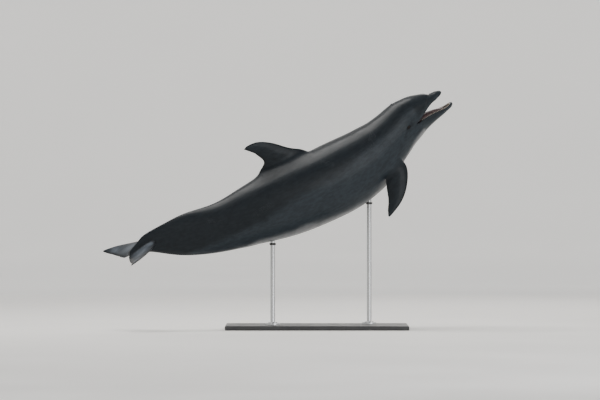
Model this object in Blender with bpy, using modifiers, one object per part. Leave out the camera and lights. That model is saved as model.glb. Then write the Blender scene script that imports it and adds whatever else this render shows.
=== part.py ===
"""Bottlenose dolphin, life size, leaping with its mouth open: a still museum model.

The animal is built in its own plane: X forward from the tip of the upper jaw, Y to its
left, Z up its back.  A spine runs back from the jaw tip, turned by a few pitch angles, and
rings of sixteen points stand square to it.  The fins grow out of patches of those rings.
The finished skin is parted by thin cuts into named pieces, turned into the leaping pose
and stood on a plain display stand.  Units are metres, Z is up, the floor is Z = 0.
"""
import math

import bmesh
import bpy
from mathutils import Matrix, Vector

OBJECT = "bottlenose_dolphin"
LENGTH = 2.50                       # tip of the upper jaw to the notch of the flukes
GAP = 0.0003                        # air between neighbouring pieces
POINTS = 16                         # points in a ring: 0 left, 4 back, 8 right, 12 belly
QUARTER = POINTS // 4
SHARP = math.radians(35.0)          # edges turned further than this are shaded sharp

# The leap: the whole animal turned from level flight.
YAW = math.radians(18.0)            # head away from the viewer's side
ROLL = math.radians(9.0)            # back leaning to the viewer's side
JAW_TIP = (1.1126, 0.2825, 1.6200)

# Pitch of the spine in degrees, by share of the length behind the jaw tip.
PITCH = ((0.00, 35.0), (0.12, 35.0), (0.20, 41.0), (0.28, 38.3), (0.40, 29.6),
         (0.55, 25.1), (0.68, 19.6), (0.78, 13.9), (0.86, 13.0), (0.91, 21.0),
         (0.96, 30.0), (1.00, 32.0))

# Body landmarks: station, half width, level of the widest line, back, belly, keel power.
GAPE = 0.112
EYE = 0.140
BODY = (
    (GAPE, 0.116, -0.058, 0.119, -0.172, 0.88),
    (EYE, 0.130, -0.042, 0.127, -0.193, 0.92),
    (0.170, 0.143, -0.048, 0.122, -0.215, 0.96),
    (0.205, 0.158, -0.056, 0.127, -0.243, 1.00),
    (0.245, 0.176, -0.062, 0.146, -0.273, 1.00),
    (0.285, 0.191, -0.062, 0.166, -0.299, 1.00),
    (0.330, 0.203, -0.056, 0.186, -0.308, 1.00),
    (0.380, 0.209, -0.047, 0.204, -0.303, 1.00),
    (0.425, 0.209, -0.040, 0.214, -0.295, 1.00),
    (0.500, 0.200, -0.028, 0.219, -0.278, 1.00),
    (0.575, 0.180, -0.016, 0.214, -0.249, 1.02),
    (0.630, 0.157, -0.010, 0.194, -0.223, 1.06),
    (0.690, 0.126, -0.008, 0.159, -0.200, 1.12),
    (0.750, 0.096, -0.006, 0.147, -0.183, 1.20),
    (0.810, 0.069, -0.003, 0.140, -0.158, 1.32),
    (0.860, 0.050, -0.001, 0.112, -0.126, 1.45),
    (0.900, 0.038, 0.000, 0.086, -0.088, 1.50),
    (0.925, 0.033, 0.000, 0.078, -0.059, 1.35),
    (0.960, 0.028, 0.000, 0.044, -0.026, 1.10),
    (0.995, 0.024, 0.002, 0.014, -0.008, 1.00),
)
CUTS = (("neck", 0.165), ("chest", 0.198), ("trunk", 0.340), ("tail", 0.605),
        ("tail_stock", 0.800))      # where each of these nodes begins
FLIPPER_ROWS = (0.215, 0.238, 0.261, 0.285)
FIN_ROWS = (0.425, 0.475, 0.525, 0.575)
FLUKE_ROWS = (0.918, 0.942, 0.968, 0.995)
STATIONS = (GAPE, EYE, 0.176) + FLIPPER_ROWS + (0.355,) + FIN_ROWS + (
    0.645, 0.725, 0.805, 0.865) + FLUKE_ROWS

# Upper jaw and melon, from the gape to the tip: distance behind the tip, half width of the
# lip, greatest half width, level of the lip, level of the top.
LIP_AT_GAPE = 0.100
UPPER_JAW = (
    (0.225, 0.083, 0.105, -0.043, 0.108),
    (0.165, 0.066, 0.084, -0.025, 0.086),
    (0.112, 0.052, 0.060, -0.013, 0.057),
    (0.078, 0.046, 0.047, -0.012, 0.036),
    (0.048, 0.039, 0.039, -0.009, 0.030),
    (0.022, 0.028, 0.028, -0.006, 0.021),
    (0.006, 0.014, 0.014, -0.001, 0.012),
)
PALATE_RISE = 0.010

# Lower jaw, from the gape to the tip: lip (back, level), chin (back, level), half width.
LOWER_JAW = (
    (0.225, -0.067, 0.232, -0.160, 0.083),
    (0.165, -0.076, 0.173, -0.151, 0.064),
    (0.110, -0.087, 0.118, -0.145, 0.050),
    (0.066, -0.099, 0.072, -0.141, 0.041),
    (0.028, -0.105, 0.032, -0.136, 0.032),
    (-0.002, -0.103, -0.001, -0.132, 0.022),
    (-0.021, -0.105, -0.021, -0.121, 0.011),
)
FLOOR_SINK = 0.014
THROAT = ((0.320, 0.60),)           # pocket behind the gape: distance, share of size

# Teeth: equal cones along both lips, from the tip of each jaw back towards the gape.
TEETH = 14
TOOTH_RADIUS = 0.0036
TOOTH_HEIGHT = 0.011
TOOTH_ROOT = 0.014
TOOTH_ROW = (0.022, 0.232)          # first and last tooth, behind the upper jaw's tip
TOOTH_INSET = 0.84                  # share of the lip's half width

# Eyes and tongue, in the frame of the head.
EYE_RADIUS = 0.015
EYE_PLACE = (0.352, 0.1185, -0.036)
TONGUE = (0.172, 0.126, 0.60, 0.021)       # middle, half length, share of jaw, half height

# Display stand.
BASE_SIZE = (1.24, 0.60, 0.030)
BASE_MIDDLE = (0.260, 0.110)
BASE_BEVEL = 0.006
ROD_RADIUS = 0.016
ROD_DEPTH = 0.050                   # how far a rod stands inside the belly
ROD_STATIONS = (("front", 0.330), ("rear", 0.600))
FOOT_RADIUS = 0.050
FOOT_HEIGHT = 0.012

# Colour, roughness and metallic value of each kind of surface.
SKIN_GREY = ((0.040, 0.048, 0.058), 0.34, 0.0)
BELLY_GREY = ((0.260, 0.265, 0.270), 0.36, 0.0)
TONGUE_PINK = ((0.420, 0.150, 0.150), 0.35, 0.0)
EYE_BROWN = ((0.030, 0.018, 0.012), 0.08, 0.0)
STAND_BLACK = ((0.030, 0.031, 0.033), 0.45, 0.0)
STEEL = ((0.620, 0.630, 0.640), 0.28, 1.0)

# Fins, from root to tip.  Each section is a leading point, a trailing point and a half
# thickness, the points measured backward and outward in the plane of the fin.
BLUNT = 0.27                        # least share of a section's thickness, at its edges
FIN_SLOPE = math.radians(24.8)
FIN_FOOT = (0.409, 0.217)           # station and height where the front edge meets the back
DORSAL_FIN = (
    ((0.016, 0.014), (0.372, 0.014), 0.030),
    ((0.106, 0.065), (0.323, 0.054), 0.022),
    ((0.190, 0.134), (0.335, 0.101), 0.017),
    ((0.262, 0.183), (0.361, 0.142), 0.012),
    ((0.332, 0.210), (0.392, 0.174), 0.008),
    ((0.392, 0.210), (0.416, 0.197), 0.004),
)
FLIPPER = (
    ((-0.008, 0.026), (0.164, 0.024), 0.030),
    ((0.019, 0.088), (0.188, 0.062), 0.024),
    ((0.084, 0.154), (0.221, 0.112), 0.018),
    ((0.148, 0.196), (0.254, 0.159), 0.013),
    ((0.219, 0.223), (0.291, 0.195), 0.009),
    ((0.294, 0.237), (0.316, 0.224), 0.004),
)
SPLAY = {"left": math.radians(60.0), "right": math.radians(25.0)}
FLUKE_PITCH = math.radians(34.0)
FLUKE_TURN = math.radians(2.5)      # the flukes swing a little to the animal's left
FLUKE = (                           # points here are backward and sideways, then the lift
    ((-0.018, 0.048), (0.198, 0.050), 0.015, 0.007),
    ((0.012, 0.114), (0.213, 0.116), 0.012, 0.012),
    ((0.064, 0.181), (0.222, 0.182), 0.009, 0.020),
    ((0.121, 0.240), (0.237, 0.242), 0.007, 0.031),
    ((0.180, 0.290), (0.251, 0.291), 0.005, 0.043),
    ((0.240, 0.321), (0.257, 0.320), 0.003, 0.051),
)


def glide(knots, column, at):
    """Smooth value of one column of a landmark table at a station."""
    spots = [row[0] for row in knots]
    values = [row[column] for row in knots]
    last = len(spots) - 1
    low = 0
    while low < last - 1 and spots[low + 1] < at:
        low += 1

    def slope(index):
        if index in (0, last):
            return 0.0
        before = (values[index] - values[index - 1]) / (spots[index] - spots[index - 1])
        after = (values[index + 1] - values[index]) / (spots[index + 1] - spots[index])
        return 0.0 if before * after <= 0.0 else 2.0 * before * after / (before + after)

    step = spots[low + 1] - spots[low]
    share = min(1.0, max(0.0, (at - spots[low]) / step))
    rise = values[low + 1] - values[low]
    ease = share * share * (3.0 - 2.0 * share)
    bend_in = share * (1.0 - share) ** 2 * slope(low) * step
    bend_out = share * share * (share - 1.0) * slope(low + 1) * step
    return values[low] + rise * ease + bend_in + bend_out


def spine(station):
    """Point of the spine at a station, with the directions forward and up the back."""
    steps = max(1, int(round(station * 400)))
    point = Vector((0.0, 0.0, 0.0))
    for index in range(steps):
        pitch = math.radians(glide(PITCH, 1, station * (index + 0.5) / steps))
        stride = LENGTH * station / steps
        point -= Vector((math.cos(pitch), 0.0, math.sin(pitch))) * stride
    pitch = math.radians(glide(PITCH, 1, station))
    forward = Vector((math.cos(pitch), 0.0, math.sin(pitch)))
    upward = Vector((-math.sin(pitch), 0.0, math.cos(pitch)))
    return point, forward, upward


def angle(index):
    """Angle of a ring point, from the left side up over the back."""
    return 2.0 * math.pi * index / POINTS


def squeeze(value, power):
    """Cosine raised to a power, its sign kept."""
    return math.copysign(abs(value) ** power, value)


def body_ring(station):
    """The sixteen points of the body at a station."""
    centre, forward, upward = spine(station)
    half = glide(BODY, 1, station)
    level = glide(BODY, 2, station)
    back = glide(BODY, 3, station)
    belly = glide(BODY, 4, station)
    power = glide(BODY, 5, station)
    ring = []
    for index in range(POINTS):
        turn = angle(index)
        reach = back - level if math.sin(turn) >= 0.0 else level - belly
        side = half * squeeze(math.cos(turn), power)
        if station == GAPE and index % (2 * QUARTER) == 0:
            side = math.copysign(LIP_AT_GAPE, side)
        ring.append(centre + Vector((0.0, side, 0.0)) + upward * (level + reach * math.sin(turn)))
    return ring


def head_point(back, side, level):
    """A point of the head, whose frame is straight as far as the gape."""
    centre, forward, upward = spine(GAPE)
    return centre + forward * (GAPE * LENGTH - back) + upward * level + Vector((0.0, side, 0.0))


def upper_jaw_ring(row):
    """Lip and melon over the top, then the palate back from right to left."""
    back, lip, widest, level, top = row
    ring = []
    for index in range(2 * QUARTER + 1):
        turn = angle(index)
        half = lip if index % (2 * QUARTER) == 0 else widest
        side = half * squeeze(math.cos(turn), 0.88)
        ring.append(head_point(back, side, level + (top - level) * math.sin(turn)))
    for index in range(2 * QUARTER - 1, 0, -1):
        turn = angle(index)
        rise = PALATE_RISE * min(1.0, lip / 0.05) * math.sin(turn)
        ring.append(head_point(back, lip * math.cos(turn), level + rise))
    return ring


def lower_jaw_ring(row):
    """Lip and chin under the bottom from right to left, then the floor of the mouth."""
    lip_back, lip_level, chin_back, chin_level, half = row
    ring = []
    for index in range(2 * QUARTER, POINTS + 1):
        turn = angle(index)
        drop = -math.sin(turn)
        back = lip_back + (chin_back - lip_back) * drop
        level = lip_level + (chin_level - lip_level) * drop
        ring.append(head_point(back, half * squeeze(math.cos(turn), 0.85), level))
    for index in range(1, 2 * QUARTER):
        turn = angle(index)
        sink = FLOOR_SINK * min(1.0, half / 0.05) * math.sin(turn)
        ring.append(head_point(lip_back, half * math.cos(turn), lip_level - sink))
    return ring


def gape_lines():
    """The palate and the floor of the mouth where both jaws meet the head."""
    level = glide(BODY, 2, GAPE)
    palate = []
    floor = []
    for index in range(1, 2 * QUARTER):
        turn = angle(index)
        side = LIP_AT_GAPE * math.cos(turn)
        palate.append(head_point(GAPE * LENGTH, side, level + 0.012 * math.sin(turn)))
        floor.append(head_point(GAPE * LENGTH, side, level - 0.030 * math.sin(turn)))
    return palate, floor


def face_out(mesh):
    """Turn every face outward, on normals worked out afresh."""
    mesh.normal_update()
    bmesh.ops.recalc_face_normals(mesh, faces=mesh.faces)


def tube(mesh, rings, close_end, numbered=False):
    """Loft sixteen-point rings one after another; the last may be closed."""
    spot = mesh.verts.layers.int["spot"]
    row_of = mesh.verts.layers.int["row"]
    verts = bmesh.ops.create_circle(mesh, segments=POINTS, radius=1.0, cap_ends=False)["verts"]
    for vert in verts:
        turn = math.atan2(vert.co.y, vert.co.x)
        vert[spot] = round(turn * POINTS / (2.0 * math.pi)) % POINTS
    edges = list({edge for vert in verts for edge in vert.link_edges})
    for number, ring in enumerate(rings):
        if number:
            grown = bmesh.ops.extrude_edge_only(mesh, edges=edges)["geom"]
            verts = [item for item in grown if isinstance(item, bmesh.types.BMVert)]
            edges = [item for item in grown if isinstance(item, bmesh.types.BMEdge)]
        for vert in verts:
            vert.co = ring[vert[spot]]
            vert[row_of] = 1 + number if numbered else 0
    if close_end:
        bmesh.ops.contextual_create(mesh, geom=edges)


def section_point(section, share, side, normal, frame):
    """A point of a fin section: share of the chord, and which face it is on."""
    lead, trail, half = section[:3]
    lift = section[3] if len(section) > 3 else 0.0
    back = lead[0] + (trail[0] - lead[0]) * share
    out = lead[1] + (trail[1] - lead[1]) * share
    plump = max(BLUNT, 2.598 * math.sqrt(share) * (1.0 - share))
    origin, backward, outward = frame
    return origin + backward * back + outward * out + normal * (lift + side * half * plump)


def grow_fin(mesh, rows, columns, sections, frame, normal):
    """Extrude a patch of the body, two columns wide, through the sections of a fin."""
    row_of = mesh.verts.layers.int["row"]
    spot = mesh.verts.layers.int["spot"]
    foot = mesh.verts.layers.int["foot"]
    count = len(rows)
    corners = {(rows[r], columns[c]) for r in range(count) for c in range(3)}
    patch = [face for face in mesh.faces
             if all((v[row_of], v[spot]) in corners for v in face.verts)]
    for vert in {vert for face in patch for vert in face.verts}:
        vert[foot] = 1
    for section in sections:
        grown = bmesh.ops.extrude_face_region(mesh, geom=patch)["geom"]
        bmesh.ops.delete(mesh, geom=patch, context="FACES")
        patch = [item for item in grown if isinstance(item, bmesh.types.BMFace)]
        for vert in [item for item in grown if isinstance(item, bmesh.types.BMVert)]:
            row = rows.index(vert[row_of])
            side = columns.index(vert[spot]) - 1
            share = row / (count - 1.0)
            if side:
                share = min(0.92, max(0.04, share))
            vert.co = section_point(section, share, side, normal, frame)
            vert[foot] = 0


def fin_frames():
    """Origin, backward and outward directions and normal of each fin."""
    sideways = Vector((0.0, 1.0, 0.0))
    point, forward, upward = spine(FIN_FOOT[0])
    slope = Vector((math.cos(FIN_SLOPE), 0.0, math.sin(FIN_SLOPE)))
    rise = Vector((-math.sin(FIN_SLOPE), 0.0, math.cos(FIN_SLOPE)))
    frames = {"dorsal": ((point + upward * FIN_FOOT[1], -slope, rise), sideways)}

    for name, hand, column in (("left", 1.0, 14), ("right", -1.0, 10)):
        foot = body_ring(FLIPPER_ROWS[0])[column]
        point, forward, upward = spine(FLIPPER_ROWS[1])
        turn = SPLAY[name]
        outward = sideways * hand * math.sin(turn) - upward * math.cos(turn)
        normal = sideways * hand * math.cos(turn) + upward * math.sin(turn)
        frames["flipper_" + name] = ((foot, -forward, outward), normal)

        point, forward, upward = spine(FLUKE_ROWS[0])
        level = Vector((math.cos(FLUKE_PITCH), 0.0, math.sin(FLUKE_PITCH)))
        lift = Vector((-math.sin(FLUKE_PITCH), 0.0, math.cos(FLUKE_PITCH)))
        swing = Matrix.Rotation(FLUKE_TURN, 3, lift)
        frames["fluke_" + name] = ((point, swing @ -level, swing @ sideways * hand), lift)
    return frames


def cage():
    """The whole skin as a coarse cage of four-sided faces."""
    mesh = bmesh.new()
    mesh.verts.layers.int.new("spot")
    mesh.verts.layers.int.new("row")
    mesh.verts.layers.int.new("foot")
    rings = [body_ring(station) for station in STATIONS]
    tube(mesh, rings, close_end=True, numbered=True)

    frames = fin_frames()
    for name, rows, columns, sections in (
            ("dorsal", FIN_ROWS, (5, 4, 3), DORSAL_FIN),
            ("flipper_left", FLIPPER_ROWS, (13, 14, 15), FLIPPER),
            ("flipper_right", FLIPPER_ROWS, (11, 10, 9), FLIPPER),
            ("fluke_left", FLUKE_ROWS, (15, 0, 1), FLUKE),
            ("fluke_right", FLUKE_ROWS, (9, 8, 7), FLUKE)):
        numbers = [1 + STATIONS.index(station) for station in rows]
        frame, normal = frames[name]
        grow_fin(mesh, numbers, columns, sections, frame, normal)

    gape = rings[0]
    palate, floor = gape_lines()
    upper = gape[:2 * QUARTER + 1] + palate[::-1]
    lower = gape[2 * QUARTER:] + gape[:1] + floor
    tube(mesh, [upper] + [upper_jaw_ring(row) for row in UPPER_JAW], close_end=True)
    tube(mesh, [lower] + [lower_jaw_ring(row) for row in LOWER_JAW], close_end=True)
    mouth = [gape[0]] + palate + [gape[2 * QUARTER]] + floor[::-1]
    middle = sum(mouth, Vector()) / POINTS
    pocket = [mouth]
    for back, share in THROAT:
        shift = head_point(back, 0.0, 0.0) - head_point(GAPE * LENGTH, 0.0, 0.0)
        pocket.append([middle + (point - middle) * share + shift for point in mouth])
    tube(mesh, pocket, close_end=True)
    bmesh.ops.remove_doubles(mesh, verts=mesh.verts, dist=1e-6)
    face_out(mesh)
    return mesh


def evaluated(obj):
    """A plain mesh of an object with its modifiers applied."""
    graph = bpy.context.evaluated_depsgraph_get()
    graph.update()
    return bpy.data.meshes.new_from_object(obj.evaluated_get(graph))


def smooth_skin(collection):
    """Subdivide the cage so that the smooth skin passes through the cage's own points.

    Only the feet of the fins are left to round themselves off."""
    mesh = cage()
    data = bpy.data.meshes.new("skin")
    mesh.to_mesh(data)
    mesh.free()
    skin = bpy.data.objects.new("skin", data)
    collection.objects.link(skin)
    smooth = skin.modifiers.new("smooth", "SUBSURF")
    smooth.levels = 1
    smooth.render_levels = 1
    aims = [vert.co.copy() for vert in data.vertices]
    firm = [1.0 - mark.value for mark in data.attributes["foot"].data]
    for _ in range(4):
        settled = evaluated(skin)
        for vert, aim, reached, share in zip(data.vertices, aims, settled.vertices, firm):
            vert.co += (aim - reached.co) * share
        bpy.data.meshes.remove(settled)
        data.update()
    return skin


def clear():
    """Start from an empty file."""
    for obj in list(bpy.data.objects):
        bpy.data.objects.remove(obj, do_unlink=True)
    for data in list(bpy.data.meshes):
        bpy.data.meshes.remove(data)


def bake(obj):
    """Apply an object's modifiers and placement to its mesh."""
    data = evaluated(obj)
    data.transform(obj.matrix_world)
    obj.modifiers.clear()
    obj.matrix_world = Matrix.Identity(4)
    old = obj.data
    obj.data = data
    bpy.data.meshes.remove(old)
    return obj


def new_object(name, mesh, collection):
    """An object of a finished bmesh."""
    data = bpy.data.meshes.new(name)
    mesh.to_mesh(data)
    mesh.free()
    obj = bpy.data.objects.new(name, data)
    collection.objects.link(obj)
    return obj


def block(name, frame, low, high, collection):
    """A box between two corners of a frame (origin and three directions)."""
    mesh = bmesh.new()
    bmesh.ops.create_cube(mesh, size=1.0)
    origin, along, across, normal = frame
    for vert in mesh.verts:
        place = [low[k] + (high[k] - low[k]) * (vert.co[k] + 0.5) for k in range(3)]
        vert.co = origin + along * place[0] + across * place[1] + normal * place[2]
    face_out(mesh)
    return new_object(name, mesh, collection)


def carve(obj, tool, operation):
    """One Boolean between closed meshes, applied at once."""
    cut = obj.modifiers.new(operation.lower(), "BOOLEAN")
    cut.operation = operation
    cut.solver = "MANIFOLD"
    cut.object = tool
    bake(obj)


def copy_of(obj, name, collection):
    """A second object with its own mesh."""
    twin = bpy.data.objects.new(name, obj.data.copy())
    collection.objects.link(twin)
    return twin


def part_box(body, name, frame, low, high, collection):
    """Take what lies inside a box out of the body, leaving a thin gap."""
    piece = copy_of(body, name, collection)
    inner = block("inner", frame, low, high, collection)
    carve(piece, inner, "INTERSECT")
    wide_low = [value - GAP for value in low]
    wide_high = [value + GAP for value in high]
    outer = block("outer", frame, wide_low, wide_high, collection)
    carve(body, outer, "DIFFERENCE")
    for tool in (inner, outer):
        bpy.data.objects.remove(tool, do_unlink=True)
    return piece


def part_plane(body, name, point, forward, collection):
    """Take what lies in front of a plane off the body, leaving a thin gap."""
    piece = copy_of(body, name, collection)
    for obj, sign in ((piece, 1.0), (body, -1.0)):
        mesh = bmesh.new()
        mesh.from_mesh(obj.data)
        geometry = mesh.verts[:] + mesh.edges[:] + mesh.faces[:]
        cut = bmesh.ops.bisect_plane(
            mesh, geom=geometry, dist=1e-7, plane_co=point + forward * sign * GAP / 2.0,
            plane_no=forward * sign, clear_inner=True)
        edges = [item for item in cut["geom_cut"] if isinstance(item, bmesh.types.BMEdge)]
        bmesh.ops.edgeloop_fill(mesh, edges=edges)
        face_out(mesh)
        mesh.to_mesh(obj.data)
        mesh.free()
    return piece


def jaw_value(rows, columns, back):
    """Values along a jaw at a distance behind the upper tip, read from its table."""
    key, value = columns
    for near, far in zip(rows[1:], rows[:-1]):
        if near[key] <= back <= far[key]:
            share = (back - near[key]) / (far[key] - near[key])
            return near[value] + (far[value] - near[value]) * share
    return rows[0][value]


def add_teeth(jaw, rows, lip, half, upward, collection):
    """Join two rows of teeth to a jaw."""
    mesh = bmesh.new()
    for number in range(TEETH):
        share = number / (TEETH - 1.0)
        back = TOOTH_ROW[0] + (TOOTH_ROW[1] - TOOTH_ROW[0]) * share
        level = jaw_value(rows, (0, lip), back)
        side = jaw_value(rows, (0, half), back) * TOOTH_INSET
        for hand in (-1.0, 1.0):
            cone = bmesh.ops.create_cone(
                mesh, cap_ends=True, segments=4, radius1=TOOTH_RADIUS,
                radius2=0.0, depth=TOOTH_HEIGHT + TOOTH_ROOT)
            for vert in cone["verts"]:
                rise = upward * (vert.co.z + (TOOTH_HEIGHT - TOOTH_ROOT) / 2.0)
                vert.co = head_point(back + vert.co.x, hand * side + vert.co.y, level + rise)
    face_out(mesh)
    teeth = new_object("teeth", mesh, collection)
    carve(jaw, teeth, "UNION")
    bpy.data.objects.remove(teeth, do_unlink=True)


def ball(name, place, radius, collection, segments=14, rings=9):
    """An eyeball in the frame of the head."""
    mesh = bmesh.new()
    bmesh.ops.create_uvsphere(mesh, u_segments=segments, v_segments=rings, radius=radius)
    centre = head_point(*place)
    bmesh.ops.translate(mesh, verts=mesh.verts, vec=centre)
    return new_object(name, mesh, collection)


def tongue_shape(name, swell, collection):
    """The tongue, swollen a little when it serves to carve its own seat."""
    middle, length, share_of_jaw, height = TONGUE
    mesh = bmesh.new()
    bmesh.ops.create_uvsphere(mesh, u_segments=14, v_segments=10, radius=1.0)
    bmesh.ops.rotate(mesh, verts=mesh.verts, matrix=Matrix.Rotation(math.pi / 2.0, 3, "Y"))
    for vert in mesh.verts:
        back = middle - vert.co.x * (length + swell)
        half = jaw_value(LOWER_JAW, (0, 4), back) * share_of_jaw + swell
        level = jaw_value(LOWER_JAW, (0, 1), back) - 0.005
        vert.co = head_point(back, vert.co.y * half, level + vert.co.z * (height + swell))
    face_out(mesh)
    return new_object(name, mesh, collection)


def split_jaws(front, collection):
    """Divide the piece in front of the gape into the two jaws, which nowhere touch."""
    mesh = bmesh.new()
    mesh.from_mesh(front.data)
    mesh.verts.ensure_lookup_table()
    top = max(mesh.verts, key=lambda vert: vert.co.z)
    linked = {top}
    queue = [top]
    while queue:
        for edge in queue.pop().link_edges:
            for vert in edge.verts:
                if vert not in linked:
                    linked.add(vert)
                    queue.append(vert)
    lower = mesh.copy()
    lower.verts.ensure_lookup_table()
    upper_numbers = {vert.index for vert in linked}
    bmesh.ops.delete(lower, geom=[v for v in lower.verts if v.index in upper_numbers],
                     context="VERTS")
    bmesh.ops.delete(mesh, geom=[v for v in mesh.verts if v not in linked], context="VERTS")
    bpy.data.objects.remove(front, do_unlink=True)
    return (new_object("upper_jaw", mesh, collection), new_object("lower_jaw", lower, collection))


def rod_spot(station):
    """Where a vertical rod meets the belly, in the room."""
    point, forward, upward = spine(station)
    return pose() @ (point + upward * glide(BODY, 4, station))


def pose():
    """The leap as a matrix, from the animal's own plane to the room."""
    turn = Matrix.Rotation(YAW, 4, "Z") @ Matrix.Rotation(ROLL, 4, "X")
    return Matrix.Translation(JAW_TIP) @ turn


def bore(body, spot, collection):
    """Drill the socket of a rod up into the belly."""
    mesh = bmesh.new()
    depth = 2.0 * (ROD_DEPTH + GAP)
    bmesh.ops.create_cone(mesh, cap_ends=True, segments=16, radius1=ROD_RADIUS + GAP,
                          radius2=ROD_RADIUS + GAP, depth=depth)
    bmesh.ops.transform(mesh, verts=mesh.verts, matrix=Matrix.Translation(spot))
    bmesh.ops.transform(mesh, verts=mesh.verts, matrix=pose().inverted())
    drill = new_object("drill", mesh, collection)
    carve(body, drill, "DIFFERENCE")
    bpy.data.objects.remove(drill, do_unlink=True)


def rod(name, spot, collection):
    """A turned rod with its round foot, standing on the base."""
    top = spot.z + ROD_DEPTH - BASE_SIZE[2] - GAP
    outline = ((0.0, top), (ROD_RADIUS, top), (ROD_RADIUS, FOOT_HEIGHT + 0.004),
               (ROD_RADIUS + 0.004, FOOT_HEIGHT), (FOOT_RADIUS - 0.004, FOOT_HEIGHT),
               (FOOT_RADIUS, FOOT_HEIGHT - 0.004), (FOOT_RADIUS, 0.0), (0.0, 0.0))
    mesh = bmesh.new()
    last = mesh.verts.new((outline[0][0], 0.0, outline[0][1]))
    for radius, height in outline[1:]:
        vert = mesh.verts.new((radius, 0.0, height))
        mesh.edges.new((last, vert))
        last = vert
    obj = new_object(name, mesh, collection)
    obj.location = (spot.x, spot.y, BASE_SIZE[2] + GAP)
    screw = obj.modifiers.new("turn", "SCREW")
    screw.steps = 16
    screw.render_steps = 16
    screw.use_merge_vertices = True
    screw.merge_threshold = 0.0001
    return obj


def base(collection):
    """The flat base, its edges eased."""
    mesh = bmesh.new()
    bmesh.ops.create_cube(mesh, size=1.0, matrix=Matrix.Diagonal((*BASE_SIZE, 1.0)))
    obj = new_object("stand_base", mesh, collection)
    obj.location = (*BASE_MIDDLE, BASE_SIZE[2] / 2.0)
    ease = obj.modifiers.new("ease", "BEVEL")
    ease.width = BASE_BEVEL
    ease.segments = 2
    return obj


def paint(obj, look):
    """Give an object its own Principled material."""
    colour, roughness, metallic = look
    material = bpy.data.materials.new(obj.name)
    material.use_nodes = True
    shader = material.node_tree.nodes["Principled BSDF"]
    shader.inputs["Base Color"].default_value = (*colour, 1.0)
    shader.inputs["Roughness"].default_value = roughness
    shader.inputs["Metallic"].default_value = metallic
    obj.data.materials.clear()
    obj.data.materials.append(material)
    if obj.name != "stand_base":
        obj.data.shade_smooth()
        obj.data.set_sharp_from_angle(angle=SHARP)


def root_frame(hand, column):
    """Frame of a flipper's root: along the flank, square out of it, and across."""
    front = body_ring(FLIPPER_ROWS[0])[column]
    rear = body_ring(FLIPPER_ROWS[-1])[column]
    along = (rear - front).normalized()
    _, _, upward = spine(FLIPPER_ROWS[1])
    square = Vector((0.0, 0.775 * hand, 0.0)) - upward * 0.63
    outward = (square - along * square.dot(along)).normalized()
    return front, along, outward, along.cross(outward)


def divide(body, collection):
    """Part the skin into the named pieces of the animal."""
    frames = fin_frames()
    pieces = []
    (origin, backward, outward), normal = frames["dorsal"]
    pieces.append(part_box(body, "dorsal_fin", (origin, backward, outward, normal),
                           (-0.02, 0.014, -0.06), (0.50, 0.30, 0.06), collection))
    for name, hand, column in (("left", 1.0, 14), ("right", -1.0, 10)):
        pieces.append(part_box(body, "flipper_" + name, root_frame(hand, column),
                               (-0.05, 0.012, -0.25), (0.42, 0.36, 0.25), collection))
        (origin, backward, outward), normal = frames["fluke_" + name]
        pieces.append(part_box(body, "fluke_" + name, (origin, backward, outward, normal),
                               (-0.045, 0.044, -0.10), (0.36, 0.40, 0.14), collection))

    _, forward, upward = spine(GAPE)
    sideways = Vector((0.0, 1.0, 0.0))
    head_frame = (head_point(0.0, 0.0, 0.0), -forward, sideways, upward)
    pieces.append(part_box(body, "melon", head_frame, (0.088, -0.2, 0.016),
                           (0.300, 0.2, 0.2), collection))
    before = "head"
    for name, station in CUTS:
        point, along, _ = spine(station)
        pieces.append(part_plane(body, before, point, along, collection))
        before = name
    body.name = before
    head = next(piece for piece in pieces if piece.name == "head")
    front = part_plane(head, "front", head_point(GAPE * LENGTH - 0.012, 0.0, 0.0), forward,
                       collection)
    upper, lower = split_jaws(front, collection)
    add_teeth(upper, UPPER_JAW, 3, 1, -1.0, collection)
    add_teeth(lower, LOWER_JAW, 1, 4, 1.0, collection)
    pieces += [body, upper, lower]

    seat = tongue_shape("seat", GAP * 3.0, collection)
    for obj in (lower, head):
        carve(obj, seat, "DIFFERENCE")
    bpy.data.objects.remove(seat, do_unlink=True)
    pieces.append(tongue_shape("tongue", 0.0, collection))

    for name, hand in (("left", 1.0), ("right", -1.0)):
        place = (EYE_PLACE[0], hand * EYE_PLACE[1], EYE_PLACE[2])
        socket = ball("socket", place, EYE_RADIUS + 1.5 * GAP, collection)
        carve(head, socket, "DIFFERENCE")
        bpy.data.objects.remove(socket, do_unlink=True)
        pieces.append(ball("eye_" + name, place, EYE_RADIUS, collection))
    return pieces


def main():
    """Build the animal in its own plane, then turn it into the leap on its stand."""
    clear()
    collection = bpy.data.collections.new(OBJECT)
    bpy.context.scene.collection.children.link(collection)
    body = bake(smooth_skin(collection))
    spots = [(name, rod_spot(station)) for name, station in ROD_STATIONS]
    for _, spot in spots:
        bore(body, spot, collection)

    leap = bpy.data.objects.new("leap", None)
    leap.location = JAW_TIP
    leap.rotation_euler = (ROLL, 0.0, YAW)
    collection.objects.link(leap)
    looks = {"tongue": TONGUE_PINK, "eye_left": EYE_BROWN, "eye_right": EYE_BROWN,
             "lower_jaw": BELLY_GREY}
    for piece in divide(body, collection):
        piece.parent = leap
        paint(piece, looks.get(piece.name, SKIN_GREY))

    paint(base(collection), STAND_BLACK)
    for name, spot in spots:
        paint(rod("stand_rod_" + name, spot, collection), STEEL)


main()
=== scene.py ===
"""Looks of the leaping bottlenose dolphin, laid out as a Blender add-on.

The skin is modelled in the animal's own plane, as its solids are: X forward from the tip of
the upper jaw, Y to its left, Z up its back.  A finished piece is then turned into the leap.
Lengths are in metres unless a name or a property says otherwise.
"""
import math

import bmesh
import bpy
import numpy as np
from bpy.props import FloatProperty, FloatVectorProperty, IntProperty, PointerProperty
from mathutils import Matrix, Vector, noise
from mathutils.bvhtree import BVHTree


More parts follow.
